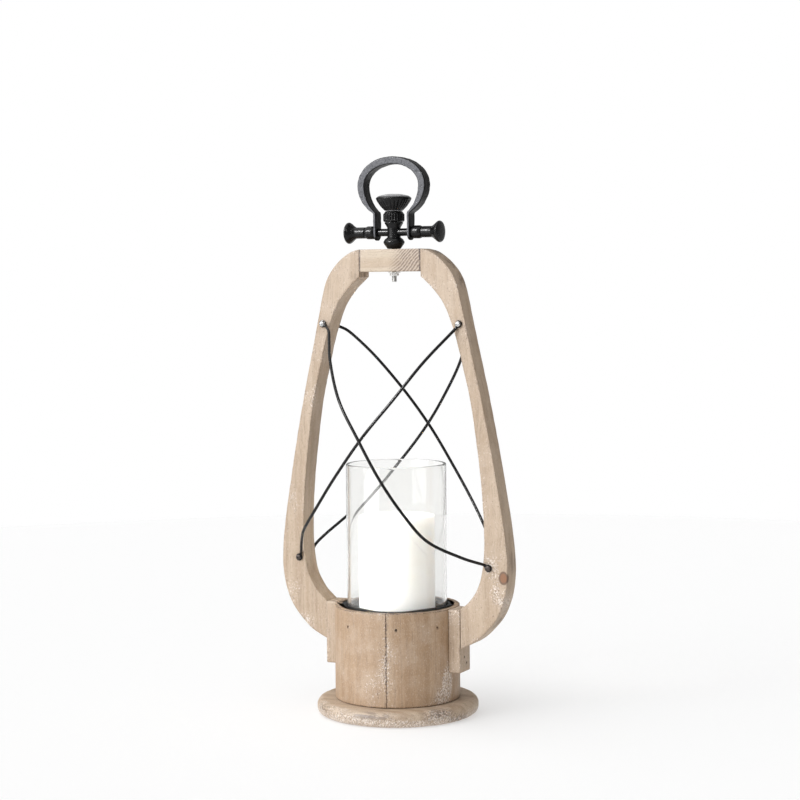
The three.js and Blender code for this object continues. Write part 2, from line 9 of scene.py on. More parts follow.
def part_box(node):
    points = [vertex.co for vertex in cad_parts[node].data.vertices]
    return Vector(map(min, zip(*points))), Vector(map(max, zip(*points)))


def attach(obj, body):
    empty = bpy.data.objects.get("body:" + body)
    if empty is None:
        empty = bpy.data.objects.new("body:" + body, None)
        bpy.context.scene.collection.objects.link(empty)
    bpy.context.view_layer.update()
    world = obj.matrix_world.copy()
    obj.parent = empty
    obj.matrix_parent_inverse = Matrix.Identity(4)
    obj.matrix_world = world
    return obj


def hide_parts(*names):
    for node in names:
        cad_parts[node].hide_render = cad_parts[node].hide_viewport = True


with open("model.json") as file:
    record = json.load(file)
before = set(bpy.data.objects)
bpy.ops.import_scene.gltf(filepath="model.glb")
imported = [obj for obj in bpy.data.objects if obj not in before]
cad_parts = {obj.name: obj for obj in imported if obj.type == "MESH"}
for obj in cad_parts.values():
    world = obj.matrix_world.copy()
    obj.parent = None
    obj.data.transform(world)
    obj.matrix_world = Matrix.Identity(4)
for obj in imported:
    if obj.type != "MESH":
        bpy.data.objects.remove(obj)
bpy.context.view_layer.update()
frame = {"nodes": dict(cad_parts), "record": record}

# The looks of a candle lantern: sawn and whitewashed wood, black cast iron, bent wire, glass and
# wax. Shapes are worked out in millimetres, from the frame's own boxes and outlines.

MM = 0.001
GAP = 0.3  # clearance that the frame's pieces keep from each other
X, Y, Z = Vector((1, 0, 0)), Vector((0, 1, 0)), Vector((0, 0, 1))
SIDES = {"left": -1, "right": 1}
FACES = {"front": -1, "rear": 1}
LEVELS = ("upper", "lower")
BODY_OF = {
    node: body
    for body, nodes in frame["record"]["behaviour"]["bodies"].items()
    for node in nodes
}

# Radii of pins, and of bores that leave a gap round bolts, screws, pins and screw heads
PIN_RADIUS = 0.9
DOWEL_RADIUS = 4.0
BRAD_BORE = 1.2
NAIL_BORE = 1.1
SCREW_BORE = 1.9
ARM_SCREW_BORE = 2.3
SCREW_HEAD_BORE = 3.5
DOWEL_BORE = 4.3
STUD_BORE = 2.8
BOLT_BORE = 4.1
SOCKET_END = 45.3  # how far from the middle the end knobs' sockets end


# ---- Reading the frame ----


def corners_of(node):
    """The lowest and highest corner of a node, in millimetres."""
    low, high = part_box(node)
    return low / MM, high / MM


def span_of(node, direction):
    """The two ends of a straight fastener that lies along a direction."""
    points = [vertex.co / MM for vertex in frame["nodes"][node].data.vertices]
    middle = sum(points, Vector()) / len(points)
    reach = [(point - middle).dot(direction) for point in points]
    return middle + direction * min(reach), middle + direction * max(reach)


def middle_of(node):
    low, high = corners_of(node)
    return (low + high) / 2


def welded(node):
    """A node's own mesh, with its triangles joined."""
    mesh = bmesh.new()
    mesh.from_mesh(frame["nodes"][node].data)
    bmesh.ops.remove_doubles(mesh, verts=mesh.verts, dist=1e-6)
    return mesh


def path_length(points):
    return sum((b - a).length for a, b in zip(points, points[1:]))


def turn_at(loop, index):
    before = loop[index] - loop[index - 1]
    after = loop[(index + 1) % len(loop)] - loop[index]
    return before.angle(after, 0.0)


def section_of(node, normal, distance):
    """The longest closed line along which a plane cuts a node, without its straight points."""
    mesh = welded(node)
    cut = bmesh.ops.bisect_plane(
        mesh,
        geom=mesh.verts[:] + mesh.edges[:] + mesh.faces[:],
        plane_co=normal * distance * MM,
        plane_no=normal,
    )
    left = {item for item in cut["geom_cut"] if isinstance(item, bmesh.types.BMEdge)}
    loops = []
    while left:
        edge = left.pop()
        start, here = edge.verts
        loop = [here]
        while here != start:
            edge = next((e for e in here.link_edges if e in left), None)
            if edge is None:
                break
            left.discard(edge)
            here = edge.other_vert(here)
            loop.append(here)
        loops.append([vertex.co / MM for vertex in loop])
    mesh.free()
    loop = max(loops, key=path_length)
    apart = [p for p, q in zip(loop, loop[1:] + loop[:1]) if (p - q).length > 0.05]
    return [p for i, p in enumerate(apart) if turn_at(apart, i) > math.radians(0.1)]


def runs_of(loop):
    """Splits a closed loop at its sharp corners into smooth runs, each from corner to corner."""
    sharp = [i for i in range(len(loop)) if turn_at(loop, i) > math.radians(30)]
    turned_round = loop[sharp[0]:] + loop[:sharp[0]] + [loop[sharp[0]]]
    ends = [i - sharp[0] for i in sharp] + [len(loop)]
    return [turned_round[a:b + 1] for a, b in zip(ends, ends[1:])]


# ---- Curves ----


def evenly(points, count):
    """The same line, divided into a number of equal steps."""
    total = path_length(points)
    found, walked, index = [points[0]], 0.0, 0
    for step in range(1, count):
        goal = total * step / count
        length = (points[index + 1] - points[index]).length
        while walked + length < goal:
            walked += length
            index += 1
            length = (points[index + 1] - points[index]).length
        found.append(points[index].lerp(points[index + 1], (goal - walked) / length))
    return found + [points[-1]]


def divided(a, b, step):
    """The start of a line and the points along it, no further apart than a step."""
    parts = max(1, math.ceil((b - a).length / step))
    return [a.lerp(b, i / parts) for i in range(parts)]


def finely(points, step):
    between = [p for pair in zip(points, points[1:]) for p in divided(*pair, step)]
    return between + [points[-1]]


def smooth(points, count):
    """Evenly spaced points along a centripetal Catmull-Rom curve through the given ones."""
    held = [2 * points[0] - points[1], *points, 2 * points[-1] - points[-2]]
    fine = 16
    dense = []
    for p0, p1, p2, p3 in zip(held, held[1:], held[2:], held[3:]):
        t0, t1, t2 = (math.sqrt((b - a).length) for a, b in ((p0, p1), (p1, p2), (p2, p3)))
        leave = ((p1 - p0) / t0 - (p2 - p0) / (t0 + t1) + (p2 - p1) / t1) * t1
        arrive = ((p2 - p1) / t1 - (p3 - p1) / (t1 + t2) + (p3 - p2) / t2) * t1
        for step in range(fine):
            t = step / fine
            dense.append(
                p1 * (2 * t**3 - 3 * t**2 + 1)
                + leave * (t**3 - 2 * t**2 + t)
                + p2 * (3 * t**2 - 2 * t**3)
                + arrive * (t**3 - t**2)
            )
    return evenly(dense + [points[-1]], count)


def corner_arc(before, corner, after, radius, steps=4):
    """Points of a soft corner, which reaches at most a radius along either side."""
    ways = [other - corner for other in (before, after)]
    reach = min(radius, *(way.length * 0.48 for way in ways))
    start, end = (corner + way.normalized() * reach for way in ways)
    shares = [step / steps for step in range(steps + 1)]
    return [start * (1 - t) ** 2 + corner * 2 * t * (1 - t) + end * t * t for t in shares]


def soften(profile, radius):
    """Rounds the inner corners of an open profile of (radius, height) pairs."""
    points = [Vector(pair) for pair in profile]
    made = [points[0]]
    for before, corner, after in zip(points, points[1:], points[2:]):
        made += corner_arc(before, corner, after, radius)
    return made + [points[-1]]


def polar(angle, radius=1.0):
    return Vector((radius * math.cos(angle), radius * math.sin(angle)))


def turns(count):
    return [2 * math.pi * step / count for step in range(count)]


def rounded_rectangle(width, height, radii, across, up, arc=4):
    """Points round a rectangle about (0, 0), from the lower right, with a radius for each corner."""
    corners = []
    for index, (sx, sy) in enumerate([(1, -1), (1, 1), (-1, 1), (-1, -1)]):
        radius = radii[index]
        centre = Vector((sx * (width / 2 - radius), sy * (height / 2 - radius)))
        angles = [(index - 1 + step / arc) * math.pi / 2 for step in range(arc + 1)]
        corners.append([centre + polar(angle, radius) for angle in angles])
    points = []
    for corner, following, parts in zip(corners, corners[1:] + corners[:1], (up, across) * 2):
        points += corner
        points += [corner[-1].lerp(following[0], step / parts) for step in range(1, parts)]
    return points


# ---- Meshes ----


def linked(name, data):
    """A new object in the scene."""
    made = bpy.data.objects.new(name, data)
    bpy.context.scene.collection.objects.link(made)
    return made


def mesh_of(shape, name="shape"):
    """A mesh from a bmesh, which is freed."""
    made = bpy.data.meshes.new(name)
    shape.to_mesh(made)
    shape.free()
    return made


def skin(rings, capped=True):
    """A mesh over closed rings of points. Without caps, the last ring meets the first."""
    mesh = bmesh.new()
    rows = [[mesh.verts.new(Vector(point) * MM) for point in ring] for ring in rings]
    following = rows[1:] if capped else rows[1:] + rows[:1]
    for row, upper in zip(rows, following):
        for i in range(len(row)):
            mesh.faces.new((row[i - 1], row[i], upper[i], upper[i - 1]))
    if capped:
        mesh.faces.new(rows[0][::-1])
        mesh.faces.new(rows[-1])
    bmesh.ops.recalc_face_normals(mesh, faces=mesh.faces)
    return mesh_of(mesh)


def turned(profile, segments, closed=False, shape=None):
    """A body turned about Z. A shape function may change the radius and height at each angle."""
    rings = []
    for radius, height in profile:
        ring = []
        for angle in turns(segments):
            r, h = shape(angle, radius, height) if shape else (radius, height)
            ring.append(Vector((r * math.cos(angle), r * math.sin(angle), h)))
        rings.append(ring)
    return skin(rings, capped=not closed)


def standing(point, direction):
    """The matrix that stands a body made along Z on a point, along a direction."""
    return Matrix.Translation(point * MM) @ direction.to_track_quat("Z", "Y").to_matrix().to_4x4()


def weather(mesh, depth, size, grain, seed):
    """Wears soft hollows into a surface, drawn out along the grain."""
    moved = []
    for vertex in mesh.vertices:
        place = vertex.co / MM / size
        place -= grain * place.dot(grain) * 0.85
        height = noise.fractal(place + Vector((seed, 0, 0)), 1.0, 2.0, 4)
        moved.extend(vertex.co + vertex.normal * (depth * MM * min(0.0, height - 0.35)))
    mesh.vertices.foreach_set("co", moved)


def mark_edges(mesh, node, reach):
    """Gives each vertex an "edge" value, 1 on a sharp edge of its CAD node and 0 past the reach."""
    cad = welded(node)
    samples = []
    for edge in cad.edges:
        if edge.calc_face_angle(0.0) > math.radians(28):
            start, end = (vertex.co.copy() for vertex in edge.verts)
            samples += divided(start, end, 1.2 * MM) + [end]
    cad.free()
    tree = kdtree.KDTree(len(samples))
    for index, sample in enumerate(samples):
        tree.insert(sample, index)
    tree.balance()
    values = [max(0.0, 1 - tree.find(v.co)[2] / (reach * MM)) for v in mesh.vertices]
    attribute = mesh.attributes.new("edge", "FLOAT", "POINT")
    attribute.data.foreach_set("value", values)


def mark_facing(mesh, way):
    """Gives each vertex a "facing" value, 1 where the surface faces along the way or against it."""
    attribute = mesh.attributes.new("facing", "FLOAT", "POINT")
    attribute.data.foreach_set("value", [abs(v.normal.dot(way)) for v in mesh.vertices])


def keep_inside(mesh, node):
    """Holds a mesh within the box of its CAD node."""
    low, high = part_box(node)
    held = []
    for vertex in mesh.vertices:
        held.extend(min(max(c, a), b) for c, a, b in zip(vertex.co, low, high))
    mesh.vertices.foreach_set("co", held)


def drill(made, holes):
    """Cuts round holes, each given as two end points and a radius."""
    cutter = bmesh.new()
    for start, end, radius in holes:
        bmesh.ops.create_cone(
            cutter, cap_ends=True, segments=24, radius1=radius * MM, radius2=radius * MM,
            depth=(end - start).length * MM, matrix=standing((start + end) / 2, end - start),
        )
    tool = linked("cutter", mesh_of(cutter, "cutter"))
    modifier = made.modifiers.new("holes", "BOOLEAN")
    modifier.object = tool
    modifier.operation = "DIFFERENCE"
    modifier.solver = "EXACT"
    whole = made.evaluated_get(bpy.context.evaluated_depsgraph_get())
    made.data = bpy.data.meshes.new_from_object(whole)
    made.modifiers.clear()
    bpy.data.objects.remove(tool)


def piece(node, mesh, look, place=None, holes=()):
    """Shows a mesh in place of the CAD node that it is named after, on the same body."""
    if place is not None:
        mesh.transform(place)
    keep_inside(mesh, node)
    mesh.materials.append(look)
    made = linked(f"{node}_shown", mesh)
    if holes:
        drill(made, holes)
    made.data.polygons.foreach_set("use_smooth", [True] * len(made.data.polygons))
    made.data.set_sharp_from_angle(angle=math.radians(38))
    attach(made, BODY_OF[node])
    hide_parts(node)


# ---- Camera, light and floor ----

# Angles in degrees; the azimuth is from straight ahead towards +X
CAMERA_AZIMUTH = 26.306
CAMERA_DISTANCE = 1949.9
CAMERA_HEIGHT = 428.3
CAMERA_PITCH = 3.371
CAMERA_ROLL = 0.493
CAMERA_YAW = 0.133
CAMERA_LENS = 88.21


def add_camera():
    azimuth = math.radians(CAMERA_AZIMUTH)
    facing = math.radians(CAMERA_AZIMUTH - CAMERA_YAW)
    pitch = math.radians(CAMERA_PITCH)
    place = Vector((math.sin(azimuth), -math.cos(azimuth), 0)) * CAMERA_DISTANCE
    place.z = CAMERA_HEIGHT
    forward = Vector((
        -math.sin(facing) * math.cos(pitch),
        math.cos(facing) * math.cos(pitch),
        -math.sin(pitch),
    ))
    data = bpy.data.cameras.new("camera")
    data.lens = CAMERA_LENS
    camera = linked("camera", data)
    look = forward.to_track_quat("-Z", "Y").to_matrix()
    roll = Matrix.Rotation(-math.radians(CAMERA_ROLL), 3, "Z")
    camera.matrix_world = Matrix.Translation(place * MM) @ (look @ roll).to_4x4()
    bpy.context.scene.camera = camera


SURROUND_LIGHT = 0.33  # strength of the white surround as a light; it is seen at 1
KEY_STRENGTH = 2.1  # a sun of pi gives white paper that faces it a brightness of 1
CARD_STRENGTH = 1.55
LAMP_STRENGTH = 3.5
FLOOR_RADIUS = 1.7  # metres
FLOOR_DROP = 0.0002  # metres that the floor lies under the lantern
FLOOR_SHADE = 0.5
FLOOR_GLOW = 0.45


def add_sun(name, azimuth, elevation, spread, strength):
    """A distant soft light, as wide across as its spread. All three angles are in degrees."""
    a, e = math.radians(azimuth), math.radians(elevation)
    way = Vector((math.sin(a) * math.cos(e), -math.cos(a) * math.cos(e), math.sin(e)))
    data = bpy.data.lights.new(name, "SUN")
    data.angle = math.radians(spread)
    data.energy = strength
    light = linked(name, data)
    light.rotation_euler = way.to_track_quat("Z", "Y").to_euler()
    return light


def add_surround():
    """A white world, which lights the lantern more dimly than it is seen."""
    world = bpy.data.worlds.new("studio")
    world.use_nodes = True
    bpy.context.scene.world = world
    tree = world.node_tree
    path = tree.nodes.new("ShaderNodeLightPath")
    seen = path.outputs["Is Camera Ray"]
    for kind in ("Is Transmission Ray", "Is Singular Ray"):
        either = tree.nodes.new("ShaderNodeMath")
        either.operation = "MAXIMUM"
        tree.links.new(seen, either.inputs[0])
        tree.links.new(path.outputs[kind], either.inputs[1])
        seen = either.outputs["Value"]
    strength = tree.nodes.new("ShaderNodeMapRange")
    strength.inputs["To Min"].default_value = SURROUND_LIGHT
    strength.inputs["To Max"].default_value = 1.0
    tree.links.new(seen, strength.inputs["Value"])
    background = tree.nodes["Background"]
    background.inputs["Color"].default_value = (1, 1, 1, 1)
    tree.links.new(strength.outputs["Result"], background.inputs["Strength"])


def add_floor():
    disc = bmesh.new()
    bmesh.ops.create_circle(disc, cap_ends=True, segments=96, radius=FLOOR_RADIUS)
    floor = linked("floor", mesh_of(disc, "floor"))
    floor.location.z = -FLOOR_DROP
    paper = Look(
        "floor_paper", Base_Color=(FLOOR_SHADE, FLOOR_SHADE, FLOOR_SHADE, 1), Roughness=1.0,
        Emission_Color=(1, 1, 1, 1), Emission_Strength=FLOOR_GLOW,
    )
    floor.data.materials.append(paper.material)


def add_studio():
    add_surround()
    add_floor()
    add_sun("key", azimuth=-46, elevation=60, spread=94, strength=KEY_STRENGTH)
    add_sun("card", azimuth=-34, elevation=9, spread=50, strength=CARD_STRENGTH)
    lamp = add_sun("lamp", azimuth=-31, elevation=30, spread=16, strength=LAMP_STRENGTH)
    lamp.visible_diffuse = False  # it only adds highlights, such as the bright lines on the iron
    bpy.context.scene.view_settings.view_transform = "Standard"


# ---- Building up a material ----


def tint(code):
    """A linear colour from a hexadecimal sRGB one."""
    parts = [int(code[i:i + 2], 16) / 255 for i in (0, 2, 4)]
    return (*(p / 12.92 if p < 0.04045 else ((p + 0.055) / 1.055) ** 2.4 for p in parts), 1.0)


class Look:
    """A Principled material in millimetre coordinates, with short ways to add texture nodes."""

    def __init__(self, name, **uniform):
        self.material = bpy.data.materials.new(name)
        self.material.use_nodes = True
        self.tree = self.material.node_tree
        self.shader = self.tree.nodes["Principled BSDF"]
        for socket, value in uniform.items():
            self.shader.inputs[socket.replace("_", " ")].default_value = value
        metres = self.tree.nodes.new("ShaderNodeTexCoord").outputs["Object"]
        self.place = self.node("Mapping", Vector=metres, Scale=(1 / MM,) * 3).outputs["Vector"]

    def feed(self, socket, value):
        if isinstance(value, bpy.types.NodeSocket):
            self.tree.links.new(value, socket)
        elif isinstance(value, str):
            socket.default_value = tint(value)
        else:
            socket.default_value = value

    def node(self, kind, settings=None, **inputs):
        made = self.tree.nodes.new("ShaderNode" + kind)
        for name, value in (settings or {}).items():
            setattr(made, name, value)
        for name, value in inputs.items():
            self.feed(made.inputs[name.replace("_", " ")], value)
        return made

    def stretched(self, scale, offset=(0, 0, 0), place=None):
        return self.node(
            "Mapping", Vector=place or self.place, Scale=scale, Location=offset
        ).outputs["Vector"]

    def noise(self, place, scale, detail=3.0, roughness=0.55):
        made = self.node("TexNoise", Vector=place, Scale=scale, Detail=detail, Roughness=roughness)
        return made.outputs["Factor"] if "Factor" in made.outputs else made.outputs["Fac"]

    def calc(self, operation, a, b=0.0):
        made = self.node("Math", {"operation": operation})
        self.feed(made.inputs[0], a)
        self.feed(made.inputs[1], b)
        return made.outputs["Value"]

    def plus(self, a, b):
        return self.calc("ADD", a, b)

    def minus(self, a, b):
        return self.calc("SUBTRACT", a, b)

    def times(self, a, b):
        return self.calc("MULTIPLY", a, b)

    def ramp(self, value, low, high, to_low=0.0, to_high=1.0):
        """Maps low..high smoothly to to_low..to_high."""
        made = self.node(
            "MapRange", {"interpolation_type": "SMOOTHSTEP"}, Value=value,
            From_Min=low, From_Max=high, To_Min=to_low, To_Max=to_high,
        )
        return made.outputs["Result"]

    def mix(self, share, a, b):
        """Colour a at a share of 0 and colour b at 1."""
        made = self.node("Mix", {"data_type": "RGBA"}, Factor=share)
        self.feed(made.inputs[6], a)
        self.feed(made.inputs[7], b)
        return made.outputs[2]

    def attribute(self, name):
        return self.node("Attribute", {"attribute_name": name}).outputs["Fac"]

    def part(self, axis):
        return self.node("SeparateXYZ", Vector=self.place).outputs[axis]

    def near(self, point, size):
        """1 at a point, falling to 0 on the oval round it whose half widths are the size."""
        squeeze = [1 / half for half in size]
        moved = self.stretched(squeeze, [-c * s for c, s in zip(point, squeeze)])
        far = self.node("VectorMath", {"operation": "LENGTH"}, Vector=moved).outputs["Value"]
        return self.ramp(far, 1.0, 0.0)

    def bump(self, height, distance):
        return self.node("Bump", Height=height, Distance=distance * MM).outputs["Normal"]

    def finish(self, colour=None, roughness=None, normal=None):
        given = {"Base Color": colour, "Roughness": roughness, "Normal": normal}
        for socket, value in given.items():
            if value is not None:
                self.feed(self.shader.inputs[socket], value)
        return self.material


# ---- Wood ----

FIBRES = {"X": (0.05, 1, 1), "Z": (1, 1, 0.05)}  # how the grain stretches a texture along an axis

# Tones of bare wood: dark, middle and pale
FRAME_TONES = ("8a7055", "af967b", "c1ab92")
DRUM_TONES = ("80644a", "a3825f", "b39575")
FOOT_TONES = ("755c44", "a98f74", "c5b097")
BAR_TONES = ("9c8468", "baa489", "cab9a2")
INNER_TONES = ("a98660", "cfae84", "dcc09a")

FILM = "cab5a0"  # whitewash rubbed thinly into the wood
WHITEWASH = "efe6de"
GRIME = "70543f"
# Dark tone of cracks and joints, also painted as shade along sharp edges
CRACK_AND_SHADE = "46342a"
STAIN = "523c2d"
KNOT_RIM, KNOT_CORE = "6b4a2c", "8a5524"
SAWN_WOOD, SAW_RIDGE, SAW_GROOVE = "927962", "e8dccf", "5d4536"
OLD_GLUE = "453230"


def wood(name, tones, wash, grain, seed, patches=(), knots=(), stains=(), crack_and_shade=0.2, sawn=False):
    """Sawn softwood with a rubbed-in whitewash.

    Patches of whitewash are (point, size, strength), knots and stains are (point, size).
    """
    dark, middle, pale = tones
    look = Look(name, Specular_IOR_Level=0.9)
    offset = (seed * 37.0, seed * 91.0, seed * 53.0)
    wander = look.noise(look.stretched((0.012,) * 3, offset), 1.0, detail=2)
    bend = look.node(
        "CombineXYZ", X=look.times(wander, 14.0), Y=look.times(wander, 9.0),
        Z=look.times(wander, 5.0),
    )
    bent = look.node("VectorMath", {"operation": "ADD"}, Vector=look.place)
    look.feed(bent.inputs[1], bend.outputs["Vector"])
    along = look.stretched(FIBRES[grain], offset, bent.outputs["Vector"])

    bands = look.noise(along, 0.14, detail=2, roughness=0.5)
    streaks = look.noise(along, 0.5, detail=4, roughness=0.6)
    fibres = look.noise(along, 2.2, detail=3, roughness=0.6)
    clouds = look.noise(look.stretched((0.035,) * 3, offset), 1.0, detail=4, roughness=0.6)
    flecks = look.noise(look.stretched((0.95, 0.95, 0.6), offset), 1.0, detail=2, roughness=0.6)
    shifted = look.stretched((0.8, 0.8, 0.5), offset[::-1])
    crumbs = look.noise(shifted, 1.0, detail=2, roughness=0.7)
    edge = look.attribute("edge")

    colour = look.mix(look.ramp(bands, 0.3, 0.7), middle, pale)
    for texture, start, full, most, tone in (
        (streaks, 0.5, 0.28, 0.5, dark), (fibres, 0.5, 0.25, 0.7, dark),
        (flecks, 0.5, 0.66, 0.35, FILM), (clouds, 0.45, 0.7, 0.3, FILM),
    ):
        colour = look.mix(look.ramp(texture, start, full, 0.0, most), colour, tone)

    wear = look.plus(look.times(edge, 0.22), look.ramp(clouds, 0.35, 0.75, 0.0, wash))
    for point, size, strength in patches:
        wear = look.plus(wear, look.times(look.near(point, size), strength))
    wear = look.ramp(wear, 0.0, 1.0)
    colour = look.mix(look.times(wear, 0.45), colour, FILM)
    start = look.minus(0.72, look.times(wear, 0.25))
    white = look.ramp(look.minus(flecks, start), 0.0, 0.1, 0.0, 0.75)
    colour = look.mix(white, colour, WHITEWASH)

    for point, size in knots:
        core = look.near(point, size)
        colour = look.mix(look.ramp(core, 0.05, 0.25), colour, KNOT_RIM)
        colour = look.mix(look.ramp(core, 0.3, 0.6), colour, KNOT_CORE)
    start = look.minus(0.645, look.times(wear, 0.13))
    grime = look.ramp(look.minus(crumbs, start), 0.0, 0.09, 0.0, 0.6)
    colour = look.mix(grime, colour, GRIME)
    # A dark line along the sharp edges: real cracks and dark joints where staves meet, and painted
    # shade along outer corners such as the arms'
    seam_and_shade = look.times(look.ramp(edge, 0.7, 0.95), look.ramp(crumbs, 0.42, 0.56))
    colour = look.mix(look.times(seam_and_shade, crack_and_shade), colour, CRACK_AND_SHADE)
    for point, size in stains:
        dirt = look.times(look.near(point, size), look.ramp(streaks, 0.6, 0.44, 0.0, 0.75))
        colour = look.mix(dirt, colour, STAIN)
    if sawn:
        colour = saw_marks(look, colour, wander)

    relief = look.plus(look.times(streaks, 0.6), look.times(fibres, 0.5))
    relief = look.minus(relief, look.times(grime, 0.8))
    roughness = look.ramp(streaks, 0.2, 0.8, 0.5, 0.68)
    return look.finish(colour, roughness, look.bump(relief, 0.25))


def saw_marks(look, colour, wander):
    """Slanting saw lines on the crossbar's right-hand half, and dark glue at both of its ends."""
    x, z = look.part("X"), look.part("Z")
    slope = look.minus(look.times(x, 1.5), look.times(z, 1.9))
    rough = look.noise(look.place, 0.35, detail=3, roughness=0.7)
    phase = look.plus(slope, look.times(wander, 44.0))
    phase = look.plus(phase, look.times(rough, 5.0))
    lines = look.calc("SINE", phase)
    half = look.ramp(look.plus(x, look.times(z, -0.3)), -138.0, -120.0)
    half = look.times(half, look.ramp(rough, 0.3, 0.55, 0.35, 1.0))
    colour = look.mix(look.times(half, 0.8), colour, SAWN_WOOD)
    for start, full, most, tone in ((0.0, -0.9, 0.3, SAW_RIDGE), (0.1, 0.8, 0.8, SAW_GROOVE)):
        share = look.times(half, look.ramp(lines, start, full, 0.0, most))
        colour = look.mix(share, colour, tone)
    end = look.ramp(look.calc("ABSOLUTE", x), 31.4, 33.2, 0.0, 0.9)
    end = look.times(end, look.ramp(rough, 0.36, 0.5, 0.4, 1.0))
    return look.mix(end, colour, OLD_GLUE)


# ---- Metal, glass, wax and cotton ----


BLACK_PAINT, WORN_PAINT, PIT = "0b0b0c", "131314", "070707"


def black_iron(name, grain=0.5, polish=0.22, bare_and_sheen=WORN_PAINT, gloss=0.6):
    """Cast iron in satin black paint. Where "facing" is high, a paler tone is painted on: rubbed
    bare metal with a painted sheen on the ring, and a painted reflection on the cup's top.
    """
    look = Look(
        name, Specular_IOR_Level=0.12, Coat_Weight=gloss, Coat_Roughness=0.1, Coat_IOR=1.32
    )
    lumps = look.noise(look.place, 0.35, detail=3)
    pits = look.noise(look.place, 1.1, detail=4, roughness=0.7)
    holes = look.ramp(pits, 0.44, 0.34)
    # Painted sheen and reflection: faces that look along "facing" take the pale tone, partly as
    # rubbed metal
    rubbed_and_sheen = look.ramp(look.attribute("facing"), 0.72, 0.96)
    rubbed_and_sheen = look.times(rubbed_and_sheen, look.ramp(pits, 0.34, 0.6, 0.6, 1.0))
    colour = look.mix(look.ramp(lumps, 0.35, 0.7), BLACK_PAINT, WORN_PAINT)
    colour = look.mix(rubbed_and_sheen, colour, bare_and_sheen)
    colour = look.mix(look.times(holes, 0.75), colour, PIT)
    relief = look.plus(look.times(lumps, 0.9), look.times(pits, grain))
    normal = look.bump(look.minus(relief, look.times(holes, 0.4)), 0.16)
    look.feed(look.shader.inputs["Coat Normal"], normal)
    roughness = look.ramp(lumps, 0.3, 0.7, polish - 0.06, polish + 0.12)
    return look.finish(colour, roughness, normal)


def plated_steel(name, tone, roughness, metallic=1.0):
    look = Look(name, Metallic=metallic)
    spangle = look.noise(look.place, 1.2, detail=4, roughness=0.6)
    scratches = look.noise(look.stretched((6, 6, 1)), 1.0, detail=2)
    colour = look.mix(look.ramp(spangle, 0.3, 0.75), tone, "f0efec")
    rough = look.ramp(spangle, 0.3, 0.7, roughness - 0.08, roughness + 0.1)
    return look.finish(colour, rough, look.bump(scratches, 0.04))


def dark_steel(name, tone):
    look = Look(name, Metallic=0.7)
    rust = look.noise(look.place, 1.1, detail=4, roughness=0.65)
    colour = look.mix(look.ramp(rust, 0.45, 0.75), tone, "3f2f25")
    return look.finish(colour, look.ramp(rust, 0.3, 0.7, 0.4, 0.62), look.bump(rust, 0.08))


def black_sheet():
    look = Look("black_sheet", Specular_IOR_Level=0.35)
    drops = look.noise(look.place, 0.9, detail=3)
    dust = look.noise(look.place, 0.12, detail=4, roughness=0.65)
    colour = look.mix(look.ramp(dust, 0.45, 0.8, 0.0, 0.3), BLACK_PAINT, "2c2b28")
    return look.finish(colour, look.ramp(dust, 0.3, 0.7, 0.36, 0.5), look.bump(drops, 0.06))


def clear_glass():
    """Clear glass, slightly wavy, that casts only a faint shadow."""
    look = Look(
        "clear_glass", IOR=1.45, Transmission_Weight=0.95, Base_Color=tint("f8f8f7"),
        Roughness=0.02,
    )
    swirl = look.noise(look.stretched((0.012, 0.012, 0.03)), 1.0, detail=2)
    material = look.finish(normal=look.bump(swirl, 0.04))
    shadow = look.node("LightPath").outputs["Is Shadow Ray"]
    through = look.node("BsdfTransparent", Color=tint("fcfbfa"))
    either = look.node("MixShader")
    look.feed(either.inputs[0], shadow)
    look.feed(either.inputs[1], look.shader.outputs["BSDF"])
    look.feed(either.inputs[2], through.outputs["BSDF"])
    look.feed(look.tree.nodes["Material Output"].inputs["Surface"], either.outputs["Shader"])
    return material


def wax():
    # Emission makes the wax glow faintly where no light reaches it: painted light that lifts its
    # shaded side
    look = Look(
        "wax", Subsurface_Weight=0.85, Subsurface_Scale=0.016, Specular_IOR_Level=0.15,
        Subsurface_Radius=(1.0, 0.9, 0.8), Emission_Color=(1, 1, 1, 1), Emission_Strength=0.08,
    )
    cloud = look.noise(look.place, 0.06, detail=3)
    bloom = look.noise(look.place, 0.9, detail=4, roughness=0.6)
    colour = look.mix(look.ramp(cloud, 0.3, 0.7), "f6f5f1", "f2f0ea")
    return look.finish(colour, look.ramp(bloom, 0.3, 0.7, 0.42, 0.6), look.bump(bloom, 0.05))


def cotton():
    """Cotton that is charred at the wick's tip."""
    look = Look("cotton", Roughness=0.9)
    fuzz = look.noise(look.place, 5.0, detail=3)
    tip = corners_of("candle_wick")[1].z
    char = look.ramp(look.part("Z"), tip - 2.5, tip - 0.5)
    colour = look.mix(look.ramp(fuzz, 0.3, 0.7), "cfc6b3", "ece6d8")
    colour = look.mix(look.times(char, 0.85), colour, "2b241e")
    return look.finish(colour, None, look.bump(fuzz, 0.1))


# ---- Foot, drum and shelf ----


def add_foot(look, holes):
    high = corners_of("base_foot")[1]
    radius, top, edge = high.x, high.z, 7.0
    rim = []
    for height, angles in ((edge, range(-90, 1, 10)), (top - edge, range(0, 91, 10))):
        rim += [Vector((radius - edge, height)) + polar(math.radians(a), edge) for a in angles]
    inner = [Vector((r, top)) for r in range(72, 2, -6)]
    profile = [Vector((1.0, 0)), Vector((40, 0)), *rim, *inner, Vector((1.0, top))]
    mesh = turned(profile, 240)
    weather(mesh, 0.35, 9, X, 3.1)
    for vertex in mesh.vertices:
        vertex.co.z = max(vertex.co.z, 0.0)
    mark_edges(mesh, "base_foot", 4)
    piece("base_foot", mesh, look, holes=holes)


